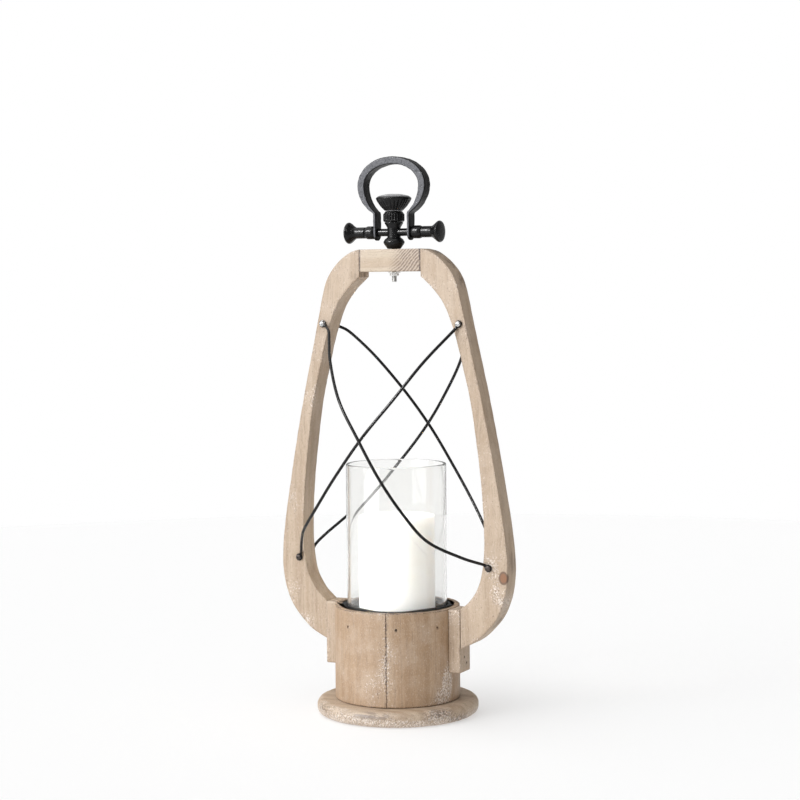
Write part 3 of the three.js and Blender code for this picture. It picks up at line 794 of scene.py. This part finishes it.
def outline_rings(outline, direction, heights, edge):
    """Copies of a closed outline, at heights along a direction, drawn in at both ends."""
    middle = sum(outline, Vector()) / len(outline)
    flat = [point - direction * middle.dot(direction) for point in outline]
    inward = []
    for i, point in enumerate(flat):
        tangent = flat[(i + 1) % len(flat)] - flat[i - 1]
        inward.append(direction.cross(tangent).normalized())
    turning = sum(direction.dot(a.cross(b)) for a, b in zip(flat, flat[1:] + flat[:1]))
    sign = 1 if turning > 0 else -1
    rings = []
    for height in heights:
        depth = max(0.0, edge - min(height - heights[0], heights[-1] - height))
        draw = edge - math.sqrt(max(0.0, edge**2 - depth**2))
        rings.append([
            point + normal * sign * draw + direction * height
            for point, normal in zip(flat, inward)
        ])
    return rings


def levels(low, high, edge, step):
    """Heights from low to high, close together within a rounded edge."""
    arc = [edge * (1 - math.cos(math.radians(a))) for a in (0, 20, 40, 60, 90)]
    count = max(2, round((high - low - 2 * edge) / step))
    between = [low + edge + (high - low - 2 * edge) * i / count for i in range(1, count)]
    return [low + a for a in arc] + between + [high - a for a in reversed(arc)]


def fine_outline(node, direction, height, step, radius):
    """A node's section, with its runs finely divided and its sharp corners rounded."""
    runs = [
        smooth(run, max(1, round(path_length(run) / step)))
        for run in runs_of(section_of(node, direction, height))
    ]
    made = []
    for before, run in zip([runs[-1]] + runs[:-1], runs):
        made += corner_arc(before[-2], run[0], run[1], radius)
        made += run[1:-1]
    return made


def add_stave(number, look, holes):
    node = f"drum_stave_{number}"
    low, high = corners_of(node)
    outline = fine_outline(node, Z, 45.0, 1.7, 0.8)
    mesh = skin(outline_rings(outline, Z, levels(low.z, high.z, 0.9, 1.8), 0.9))
    weather(mesh, 0.16, 7, Z, number * 5.7)
    mark_edges(mesh, node, 5)
    piece(node, mesh, look, holes=holes)


def add_shelf(look, holes):
    low, high = corners_of("shelf_disc")
    radius = high.x
    profile = soften([(1, low.z), (radius, low.z), (radius, high.z), (1, high.z)], 1.2)
    mesh = turned(profile, 96)
    mark_edges(mesh, "shelf_disc", 4)
    piece("shelf_disc", mesh, look, holes=holes)


# ---- Side blocks, arms and crossbar ----


def add_block(side, look, holes):
    node = f"side_block_{side}"
    low, high = corners_of(node)
    outline = fine_outline(node, Z, 70.0, 1.8, 1.1)
    mesh = skin(outline_rings(outline, Z, levels(low.z, high.z, 1.3, 1.8), 1.3))
    weather(mesh, 0.15, 6, Z, 11.0 * SIDES[side])
    mark_edges(mesh, node, 5)
    piece(node, mesh, look, holes=holes)


def worn(place, seed, least=0.7, most=1.9):
    """A corner radius that varies along a worn edge."""
    share = 0.5 + 0.5 * noise.noise(place / 9.0 + Vector((seed, 0, 0)))
    return least + (most - least) * share**2


def add_arm(side, look, holes):
    """Rounded sections between the outer and the inner edge of the sawn outline."""
    node = f"arm_{side}"
    low, high = corners_of(node)
    thickness = high.y - low.y
    loop = section_of(node, Y, 6.0)
    edges = sorted(runs_of(loop), key=path_length)[-2:]
    edges = [run if run[0].z < run[-1].z else run[::-1] for run in edges]
    inner, outer = sorted(edges, key=lambda run: abs(sum(run, Vector()).x) / len(run))
    count = 230
    rings = []
    for a, b in zip(smooth(inner, count), smooth(outer, count)):
        a, b = (Vector((p.x, 0, p.z)) for p in (a, b))
        across, middle = (b - a).normalized(), (a + b) / 2
        radii = [worn(middle, seed) for seed in (1.0, 20.0, 40.0, 60.0)]
        section = rounded_rectangle((b - a).length, thickness, radii, 12, 9)
        rings.append([middle + across * p.x + Y * p.y for p in section])
    mesh = skin(rings)
    weather(mesh, 0.14, 6, Z, 31.0 * SIDES[side])
    mark_edges(mesh, node, 4.5)
    piece(node, mesh, look, holes=holes)


def add_crossbar(look, holes):
    low, high = corners_of("crossbar")
    size, middle = high - low, (low + high) / 2
    rings = []
    for x in levels(low.x, high.x, 0.6, 1.5):
        radii = [worn(Vector((x, 0, 0)), seed, 0.5, 1.2) for seed in (3.0, 23.0, 43.0, 63.0)]
        draw = 0.6 - min(0.6, x - low.x, high.x - x)
        section = rounded_rectangle(size.y - draw, size.z - draw, radii, 12, 12)
        rings.append([Vector((x, p.x, middle.z + p.y)) for p in section])
    mesh = skin(rings)
    weather(mesh, 0.1, 5, X, 77.0)
    mark_edges(mesh, "crossbar", 3)
    piece("crossbar", mesh, look, holes=holes)


# ---- Tray, glass and candle ----


def add_pan(look):
    """A flat-bottomed tray with a rolled bead where its wall meets the rim."""
    low, high = corners_of("candle_pan")
    well, sheet = 50.9, 1.5
    floor, top = low.z + sheet, high.z - 0.6
    profile = soften([
        (1, low.z), (well, low.z), (well + sheet, floor), (well + sheet, top - sheet),
        (high.x, top - sheet), (high.x, top), (well + 2, top), (well + 1.1, high.z),
        (well + 0.2, top), (well, floor), (1, floor),
    ], 0.5)
    piece("candle_pan", turned(profile, 160), look)


def add_glass(look):
    """A tube with fire-rounded rims. The rows close to each rim keep the walls' shading flat."""
    low, high = corners_of("glass_chimney")
    outer, inner = high.x, high.x - 2.5
    corners = [(inner, low.z), (outer, low.z), (outer, high.z), (inner, high.z)]
    corners = [Vector(pair) for pair in corners]
    steps = [0.015] + [step / 12 for step in range(1, 12)] + [0.985]
    profile = []
    for i, corner in enumerate(corners):
        following = corners[(i + 1) % 4]
        profile += corner_arc(corners[i - 1], corner, following, 1.1)
        if i % 2 == 1:
            profile += [corner.lerp(following, step) for step in steps]
    piece("glass_chimney", turned(profile, 160, closed=True), look)


def add_candle(look):
    """A pillar with a hollow that has melted unevenly, so that its rim is wavy."""
    low, high = corners_of("candle")
    radius, top, pool = high.x, high.z, high.z - 12
    profile = soften([
        (1, low.z), (radius, low.z), (radius, top), (radius - 5.5, top - 0.5),
        (radius - 12, top - 8), (12, pool), (1.2, pool), (1.2, low.z + 3), (0.4, low.z + 3),
    ], 2.2)

    def melted(angle, r, h):
        near_rim = max(0.0, 1 - (top - h) / 26) if r > 13 else 0.0
        wave = 2.6 * math.cos(angle - math.radians(75)) + 0.9 * math.cos(2 * angle + 0.6)
        wave += 0.5 * math.cos(5 * angle + 1.0) + 0.6
        return r, h + wave * near_rim**1.6

    piece("candle", turned(finely(profile, 2.5), 160, shape=melted), look)


def add_wick(look):
    """Three strands, plaited round each other and bent a little at the tip."""
    low, high = corners_of("candle_wick")
    rings = []
    for step in range(121):
        share = step / 120
        z = low.z + (high.z - low.z) * share
        lean = Vector((0.5, -0.2, 0)) * max(0.0, share - 0.93) * 10
        ring = []
        for angle in turns(18):
            radius = 0.74 + 0.14 * math.cos(3 * (angle - z * 1.1))
            ring.append(lean + Vector((*polar(angle, radius), z)))
        rings.append(ring)
    piece("candle_wick", skin(rings), look)


# ---- Guard wires and screws ----

WIRE_RADIUS = 1.5
WIRE_TAB = 5.5  # length of wire that lies flat beside each eyelet
EYELET_SHEET = 1.6  # thickness
EYELET_RADIUS = 3.7
TAB_STEPS = 24
UPPER_EYE, LOWER_EYE = (75, 389.5), (105, 152)  # distance from the middle, and height
# Points are (X, distance out from the middle plane, Z) between the two eyelets
OUTER_BOW = [
    (-24, 74.5, 316), (-0.6, 82.5, 281), (24.5, 84.3, 241), (47, 79, 208), (65, 68.5, 184),
    (88, 38.5, 165),
]
INNER_BOW = [
    (52, 44, 353), (26, 60.4, 316), (-1.2, 71, 281), (-33.2, 68, 241), (-60, 57, 209),
    (-84.5, 39, 183.5),
]
WIRE_ROUTES = {
    "front": {
        "outer": (-1, [(-62.8, 22, 382), (-56.6, 33, 372), (-46.6, 50, 354), *OUTER_BOW]),
        "inner": (1, [*INNER_BOW, (-93.8, 26.5, 172)]),
    },
    "rear": {
        "outer": (-1, [(-63.8, 18, 383), (-55.2, 38, 368), (-45.8, 57, 349.8), *OUTER_BOW]),
        "inner": (1, [*INNER_BOW, (-93.8, 27.4, 172.8), (-100.5, 16.5, 163)]),
    },
}


def timber_face():
    return corners_of("arm_right")[1].y


def tab_sections(eye, way, out, rest):
    """Sections from a wire's end to past its eye: middle, half width and half thickness.

    They are round at the wire, which lies at the distance rest, and wide and thin at the eye.
    """
    eye_rest = timber_face() + GAP + EYELET_SHEET / 2
    found = []
    for step in range(1, TAB_STEPS + 1):
        turn = math.sin(math.pi / 2 * step / TAB_STEPS)
        along = WIRE_TAB - (WIRE_TAB + EYELET_RADIUS * 0.999) * turn
        disc = math.sqrt(max(0.0, EYELET_RADIUS**2 - along**2)) if along < EYELET_RADIUS else 0.0
        neck = WIRE_RADIUS * max(0.0, min(1.0, (along + 1.0) / 3.0))
        share = max(0.0, min(1.0, along / WIRE_TAB))
        share = share * share * (3 - 2 * share)
        thick = EYELET_SHEET / 2 + (WIRE_RADIUS - EYELET_SHEET / 2) * share
        centre = eye + way * along
        centre.y = out * (eye_rest + (rest - eye_rest) * share)
        found.append((centre, max(disc, neck), thick))
    return found


def add_wire(face, name, look):
    """A round wire whose ends are hammered flat into eyelets."""
    out = FACES[face]
    start, points = WIRE_ROUTES[face][name]
    rest = timber_face() + GAP + WIRE_RADIUS
    on_face = [Vector((x, out * y, z)) for x, y, z in points]
    tabs = []
    for side, (across, height), following in (
        (start, UPPER_EYE, on_face[0]), (-start, LOWER_EYE, on_face[-1])
    ):
        eye = Vector((side * across, out * rest, height))
        way = following - eye
        way.y = 0
        tabs.append((eye, way.normalized()))
    ends = [eye + way * WIRE_TAB for eye, way in tabs]
    bow = smooth([ends[0], *on_face, ends[1]], 260)

    first, last = ([(c, w, *size) for c, *size in tab_sections(e, w, out, rest)] for e, w in tabs)
    sections = first[::-1]
    for i, point in enumerate(bow):
        ahead = bow[min(i + 1, len(bow) - 1)] - bow[max(i - 1, 0)]
        sections.append((point, ahead.normalized(), WIRE_RADIUS, WIRE_RADIUS))
    sections += [(centre, -way, half, thick) for centre, way, half, thick in last]
    rings = []
    for centre, way, half, thick in sections:
        sideways = way.cross(Y).normalized()
        outwards = sideways.cross(way).normalized()
        squareness = 1.0 if half <= WIRE_RADIUS * 1.05 else 0.6
        ring = []
        for angle in turns(16):
            c, s = (math.copysign(abs(v) ** squareness, v) for v in polar(angle))
            ring.append(centre + sideways * half * c + outwards * thick * s)
        rings.append(ring)
    holes = []
    for eye, _ in tabs:
        base = Vector((eye.x, 0, eye.z))
        inside, outside = (base + Y * out * y for y in (timber_face() - 1, rest + 3))
        holes.append((inside, outside, SCREW_BORE))
    piece(f"guard_wire_{face}_{name}", skin(rings), look, holes=holes)


def screw_mesh(length, shank, head, head_height, countersunk):
    """A wood screw along Z with its tip at 0: a thread, a head, and a cross cut in the head."""
    under = length - head_height
    thread_top = under * 0.7
    steps = max(12, round(under / 0.25))
    profile = [(0.1, 0.0)]
    for z in (under * step / steps for step in range(1, steps)):
        profile.append((shank * min(1.0, 0.25 + z / 3.0), z))
    profile.append((shank, under))
    if countersunk:
        profile += [(head, length - 0.4), (head, length)]
    else:
        profile.append((head, under))
        for angle in (0.0, 0.3, 0.6, 0.9, 1.15):
            rise = head_height * (0.35 + 0.62 * math.sin(angle))
            profile.append((head * (0.35 + 0.65 * math.cos(angle)), under + rise))
    recess, depth = head * 0.6, head_height * 0.9
    profile += [(recess, length), (recess * 0.8, length - depth * 0.7), (0.15, length - depth)]

    def cut(angle, r, h):
        if h < thread_top and r > shank * 0.5:
            phase = (h / 1.1 - angle / (2 * math.pi)) % 1.0
            return r * (0.8 + 0.2 * abs(2 * phase - 1)), h
        if h > length - depth * 1.01 and r <= recess * 1.01:
            return r * (0.38 + 0.62 * abs(math.cos(2 * angle)) ** 3), h
        return r, h

    return turned(profile, 40, shape=cut)


def add_screw(node, direction, shank, head_height, look, slot, head=None, countersunk=False):
    """A screw in a CAD screw's place. Direction points from its tip to its head."""
    tip, end = span_of(node, direction)
    low, high = corners_of(node)
    across = sorted(high - low)[1] / 2
    mesh = screw_mesh((end - tip).length, shank, head or across, head_height, countersunk)
    piece(node, mesh, look, place=standing(tip, direction))


def add_pin(node, direction, look, radius):
    """A nail, brad or dowel: a plain pin with rounded ends."""
    start, end = span_of(node, direction)
    length = (end - start).length
    profile = soften([(0.1, 0), (radius, 0), (radius, length), (0.1, length)], radius * 0.5)
    piece(node, turned(profile, 24), look, place=standing(start, direction))


# ---- Finial, stud, washer and nut ----


def fluted(count, depth, low, high, fade):
    """A shape function that cuts upright flutes between two heights."""
    def shape(angle, r, h):
        share = max(0.0, min(1.0, (h - low) / fade, (high - h) / fade))
        groove = abs(math.sin(angle * count / 2)) ** 0.6
        return r - depth * share * (1 - groove), h
    return shape


def add_finial(look):
    low, high = corners_of("finial_post")
    post = soften([(r, low.z + h) for r, h in (
        (3, 0), (6.5, 0), (10.5, 5.6), (10.5, 7.1), (8.9, 9.7), (6.6, 11.3), (6.6, 20.8),
        (8, 23.3), (9.3, 25.3), (9.3, 26.3), (3, 26.3), (3, high.z - low.z - 0.5),
        (0.2, high.z - low.z),
    )], 0.7)
    piece("finial_post", turned(post, 96), look)

    low, high = corners_of("finial_barrel")
    barrel = soften([
        (3.3, low.z), (9.6, low.z), (10.6, low.z + 1.1), (10.6, high.z - 2.9),
        (9.2, high.z - 1.2), (8.6, high.z), (3.3, high.z),
    ], 0.5)
    barrel.append(Vector((3.3, (low.z + high.z) / 2)))
    flutes = fluted(22, 1.1, low.z + 1.4, high.z - 2.6, 0.5)
    mesh = turned(finely(barrel, 0.7), 264, closed=True, shape=flutes)
    piece("finial_barrel", mesh, look)

    base = corners_of("finial_cup")[0].z
    cup = soften([(r, base + h) for r, h in (
        (3.3, 0), (8.6, 0), (13.2, 4.6), (16.5, 9.4), (17.6, 11.8), (17.6, 13), (15, 15),
        (8, 16.6), (0.3, 17),
    )], 1.2)
    flutes = fluted(24, 0.9, base + 0.6, base + 11.6, 2.4)
    hollow = [Vector((0.3, base + 7)), Vector((3.3, base + 7))]
    mesh = turned(hollow + finely(cup, 0.8), 288, shape=flutes)
    # The cup's top faces up, and black_iron paints a pale painted reflection of the light above
    # there
    mark_facing(mesh, Z)
    piece("finial_cup", mesh, look)


def add_stud(bright, dark):
    """The threaded stud, and the washer and hexagon nut on it."""
    low, high = corners_of("threaded_stud")
    radius, pitch = high.x, 0.8
    profile = [(0.1, low.z)]
    steps = round((high.z - low.z) / 0.13)
    for step in range(steps + 1):
        z = low.z + (high.z - low.z) * step / steps
        profile.append((radius - max(0.0, 0.5 - (z - low.z)), z))
    profile.append((0.1, high.z))

    def thread(angle, r, h):
        if r < 1:
            return r, h
        phase = (h / pitch - angle / (2 * math.pi)) % 1.0
        return r - 0.42 * abs(2 * phase - 1), h

    piece("threaded_stud", turned(profile, 28, shape=thread), dark)

    low, high = corners_of("stud_washer")
    bore = radius + GAP
    washer = [
        (bore, low.z), (high.x - 0.3, low.z), (high.x, low.z + 0.3), (high.x, high.z - 0.2),
        (high.x - 0.2, high.z), (bore, high.z),
    ]
    piece("stud_washer", turned(washer, 64, closed=True), bright)

    low, high = corners_of("stud_nut")
    flats = 4.0
    corner = flats / math.cos(math.pi / 6)
    nut = [
        (bore + 0.4, low.z), (flats * 0.98, low.z), (corner, low.z + 0.5),
        (corner, high.z - 0.5), (flats * 0.98, high.z), (bore + 0.4, high.z), (bore, high.z - 0.4),
        (bore, low.z + 0.4),
    ]

    def hexagon(angle, r, h):
        sixth = (angle + math.pi / 6) % (math.pi / 3) - math.pi / 6
        return (min(r, flats / math.cos(sixth)), h) if r > bore + 0.5 else (r, h)

    piece("stud_nut", turned(nut, 96, closed=True, shape=hexagon), bright)


# ---- Hanging ring, cross bolt, collars and knobs ----


def add_ring(look):
    """A band swept up one leg, round the loop and down the other leg."""
    low, high = corners_of("hanging_ring")
    half_width, depth = high.x, high.y - low.y
    leg_inner, leg_outer, band = 17.0, 20.0, 7.8
    waist, lower_height, inner_rise = 526.5, 32.8, 20.6  # the waist is where the loop is widest
    foot_centre = low.z + depth / 2

    def side(half, rise, leg):
        """One edge of the right half, from the leg's foot to the top."""
        turn = math.acos(leg / half)
        lower = [(-turn * (1 - s / 40), lower_height) for s in range(40)]
        upper = [(math.pi / 2 * s / 60, rise) for s in range(61)]
        return [Vector((half * math.cos(a), waist + h * math.sin(a))) for a, h in lower + upper]

    outer = side(half_width, high.z - waist, leg_outer)
    inner = side(half_width - band, inner_rise, leg_inner)
    knee = (outer[0].y + inner[0].y) / 2
    right = []
    for step in range(30):
        share = 1 - math.cos(math.pi / 2 * step / 30)
        z = low.z + 0.02 + (knee - low.z) * share
        right.append((Vector((leg_inner, z)), Vector((leg_outer, z))))
    right += list(zip(inner, outer))[1:]
    mirrored = [(Vector((-a.x, a.y)), Vector((-b.x, b.y))) for a, b in right[-2::-1]]
    rings = []
    for a, b in right + mirrored:
        across, middle = (b - a).normalized(), (a + b) / 2
        below = max(0.0, foot_centre - middle.y)
        reach = math.sqrt(max(0.0, (depth / 2) ** 2 - below**2)) * 2
        width = (b - a).length
        radius = min(1.5, width * 0.4, reach * 0.45)
        section = rounded_rectangle(width, reach, [radius] * 4, 6, 10)
        rings.append([
            Vector((middle.x + across.x * p.x, p.y, middle.y + across.y * p.x)) for p in section
        ])
    mesh = skin(rings)
    # The band's flat front and back faces: rubbed metal together with a painted sheen, pale in
    # ring_iron
    mark_facing(mesh, Y)
    weather(mesh, 0.3, 4, Vector(), 5.0)
    pivot = middle_of("cross_bolt").z
    bore = [(Vector((-30, 0, pivot)), Vector((30, 0, pivot)), BOLT_BORE)]
    piece("hanging_ring", mesh, look, holes=bore)


def reach_of(node):
    """How far from the middle a piece on the bolt starts and ends."""
    return sorted(abs(corner.x) for corner in corners_of(node))


def add_bolt(look):
    """The cross bolt, and the collar and end knob on each of its ends."""
    low, high = corners_of("cross_bolt")
    pivot = middle_of("cross_bolt").z
    radius, length = high.y, high.x - low.x
    bore = radius + GAP
    profile = soften([(0.2, 0), (radius, 0), (radius, length), (0.2, length)], 1.0)
    mesh = turned(finely(profile, 2.0), 40)
    piece("cross_bolt", mesh, look, place=standing(Vector((low.x, 0, pivot)), X))
    for side, sign in SIDES.items():
        place = standing(Vector((0, 0, pivot)), X * sign)
        start, end = reach_of(f"collar_{side}")
        collar = soften([
            (bore, start), (5.6, start), (6.6, start + 2.5), (6.6, end - 2.5), (5.4, end),
            (bore, end),
        ], 0.8) + [Vector((bore, (start + end) / 2))]
        mesh = turned(collar, 64, closed=True)
        piece(f"collar_{side}", mesh, look, place=place)

        start, end = reach_of(f"end_knob_{side}")
        rim = end - 3
        knob = soften([
            (bore, start), (5.6, start), (5.6, rim - 8), (7, rim - 5.5), (10, rim - 1.8),
            (10.9, rim), (10, rim + 1.6), (6, rim + 2.7), (0.2, end),
        ], 1.2)
        socket = [Vector((r, SOCKET_END)) for r in (0.2, bore)]
        mesh = turned(socket + finely(knob, 1.0), 80)
        piece(f"end_knob_{side}", mesh, look, place=place)


# ---- The whole lantern ----


def hole_for(node, direction, radius, past=1.0):
    """A hole for a fastener, a little longer and wider than the fastener itself."""
    start, end = span_of(node, direction)
    return start - direction * past, end + direction * past, radius


def radial(node):
    """The level direction from the lantern's middle to a node."""
    middle = middle_of(node)
    middle.z = 0
    return middle.normalized()


# Where the wood is whitewashed, knotted and stained: points, half widths and, for a wash, strengths
DRUM_WASH = [
    ((17, -60, 60), (16, 16, 56), 0.5),
    ((4, -62, 30), (16, 16, 26), 0.45),
    ((61, -13, 36), (9, 12, 26), 1.9),
    ((58, -22, 24), (10, 14, 12), 1.1),
    ((54, -32, 18), (34, 34, 9), 0.35),
    ((-5, -62, 104), (60, 20, 12), 0.2),
]
FOOT_WASH = [
    ((0, 0, 0), (300, 300, 15), 1.25),
    ((56, -58, 3), (20, 18, 7), 0.7),
    ((-10, -80, 7), (30, 12, 8), 0.35),
    ((-30, -50, 16), (50, 40, 6), 0.3),
]
FOOT_STAINS = [
    ((66, -44, 12), (30, 26, 9)), ((8, -79, 12), (44, 10, 6)), ((-50, -60, 11), (26, 18, 6)),
    ((76, -20, 4), (12, 30, 8)),
]
ARM_WASH = {
    "left": [
        ((-97, -11, 88), (18, 8, 18), 0.75), ((-112, -11, 118), (16, 8, 30), 0.4),
        ((-112, -11, 205), (9, 8, 44), 0.35), ((-90, -11, 330), (14, 8, 50), 0.25),
    ],
    "right": [
        ((108, -11, 152), (14, 9, 18), 0.8), ((114, -11, 130), (14, 9, 24), 0.65),
        ((119, 0, 112), (14, 13, 34), 0.6),
    ],
}
ARM_KNOTS = {"left": [], "right": [((120.5, -10, 143), (6.5, 7, 9))]}
ARM_STAINS = {
    "left": [((-38, -2, 437), (12, 14, 7)), ((-100, 0, 75), (14, 13, 14))],
    "right": [
        ((46, 5, 462), (14, 13, 9)), ((60, 5, 450), (13, 13, 12)), ((72, 5, 432), (9, 13, 16)),
        ((112, 2, 96), (14, 12, 26)), ((124, 2, 158), (5, 12, 16)),
    ],
}


def dowel_hole(side):
    return hole_for(f"crossbar_dowel_{side}", X * SIDES[side], DOWEL_BORE, GAP)


def build_drum(side_holes, nail_steel, inner_wood, dull_zinc):
    brads = [f"drum_brad_{i}" for i in range(1, 9)]
    foot_screws = [f"foot_screw_{i}" for i in range(1, 5)]
    brad_holes = [hole_for(node, radial(node), BRAD_BORE) for node in brads]
    foot_holes = [hole_for(node, Z, SCREW_BORE) for node in foot_screws]
    undersides = [span_of(node, Z)[0] for node in foot_screws]
    head_holes = [(point - Z * 2, point + Z * 3.3, SCREW_HEAD_BORE) for point in undersides]

    foot_wood = wood(
        "foot_wood", FOOT_TONES, 0.8, "X", 1.3, FOOT_WASH, stains=FOOT_STAINS, crack_and_shade=0.0
    )
    add_foot(foot_wood, foot_holes + head_holes)
    for number in range(1, 5):
        name = f"drum_wood_{number}"
        look = wood(name, DRUM_TONES, 0.35, "Z", 2.0 + number, DRUM_WASH, crack_and_shade=0.9)
        add_stave(number, look, brad_holes + foot_holes + side_holes["left"] + side_holes["right"])
    add_shelf(inner_wood, brad_holes)
    for node in brads:
        add_pin(node, radial(node), nail_steel, PIN_RADIUS)
    for node in foot_screws:
        add_screw(node, -Z, 1.6, 2.4, dull_zinc, "zinc", countersunk=True)


def build_frame(side_holes, nail_steel, inner_wood, dull_zinc):
    for side, sign in SIDES.items():
        block_wood = wood(f"block_wood_{side}", FRAME_TONES, 0.5, "Z", 12.0 + sign, crack_and_shade=0.5)
        add_block(side, block_wood, side_holes[side])
        arm_wood = wood(
            f"arm_wood_{side}", FRAME_TONES, 0.45, "Z", 15.0 + sign, ARM_WASH[side],
            ARM_KNOTS[side], ARM_STAINS[side],
        )
        wire_holes = [
            hole_for(f"wire_screw_{face}_{level}_{side}", Y * out, SCREW_BORE)
            for face, out in FACES.items()
            for level in LEVELS
        ]
        add_arm(side, arm_wood, side_holes[side][:1] + [dowel_hole(side)] + wire_holes)
        for i in (1, 2):
            add_pin(f"block_nail_{side}_{i}", X * sign, nail_steel, PIN_RADIUS)
        add_screw(f"arm_screw_{side}", X * -sign, 2.0, 2.0, dull_zinc, "zinc")
        add_pin(f"crossbar_dowel_{side}", X, inner_wood, DOWEL_RADIUS)
    bar_wood = wood("crossbar_wood", BAR_TONES, 0.4, "X", 21.0, sawn=True)
    bar_holes = [dowel_hole(side) for side in SIDES]
    add_crossbar(bar_wood, bar_holes + [hole_for("threaded_stud", Z, STUD_BORE, 3.0)])


def build_guard(zinc):
    wire_black = black_iron("black_wire", grain=0.15)
    dark_screw = dark_steel("dark_screw", "5c5654")
    looks = {"upper": (zinc, "zinc"), "lower": (dark_screw, "dark_screw")}
    for face, out in FACES.items():
        for name in WIRE_ROUTES[face]:
            add_wire(face, name, wire_black)
        for side in SIDES:
            for level in LEVELS:
                node = f"wire_screw_{face}_{level}_{side}"
                add_screw(node, Y * out, 1.6, 2.2, *looks[level], head=2.7)


def build():
    side_holes = {
        side: [hole_for(f"arm_screw_{side}", X * sign, ARM_SCREW_BORE)]
        + [hole_for(f"block_nail_{side}_{i}", X * sign, NAIL_BORE, 2.0) for i in (1, 2)]
        for side, sign in SIDES.items()
    }
    inner_wood = wood("inner_wood", INNER_TONES, 0.2, "X", 9.4)
    nail_steel = dark_steel("nail_steel", "4a4038")
    dull_zinc = plated_steel("dull_zinc", "6e7072", 0.42)
    build_drum(side_holes, nail_steel, inner_wood, dull_zinc)
    build_frame(side_holes, nail_steel, inner_wood, dull_zinc)

    add_pan(black_sheet())
    add_glass(clear_glass())
    add_candle(wax())
    add_wick(cotton())
    build_guard(plated_steel("zinc", "b9bcc0", 0.3))

    # dadadc is the painted reflection on the finial cup's top
    iron = black_iron("black_iron", bare_and_sheen="dadadc")
    add_finial(iron)
    add_stud(plated_steel("frosted_zinc", "e2e3e3", 0.5, metallic=0.3), dull_zinc)
    # 75767b on the ring's flat faces is rubbed metal with a painted sheen
    add_ring(black_iron("ring_iron", grain=0.8, polish=0.4, bare_and_sheen="75767b", gloss=0.3))
    add_bolt(iron)


add_camera()
add_studio()
build()
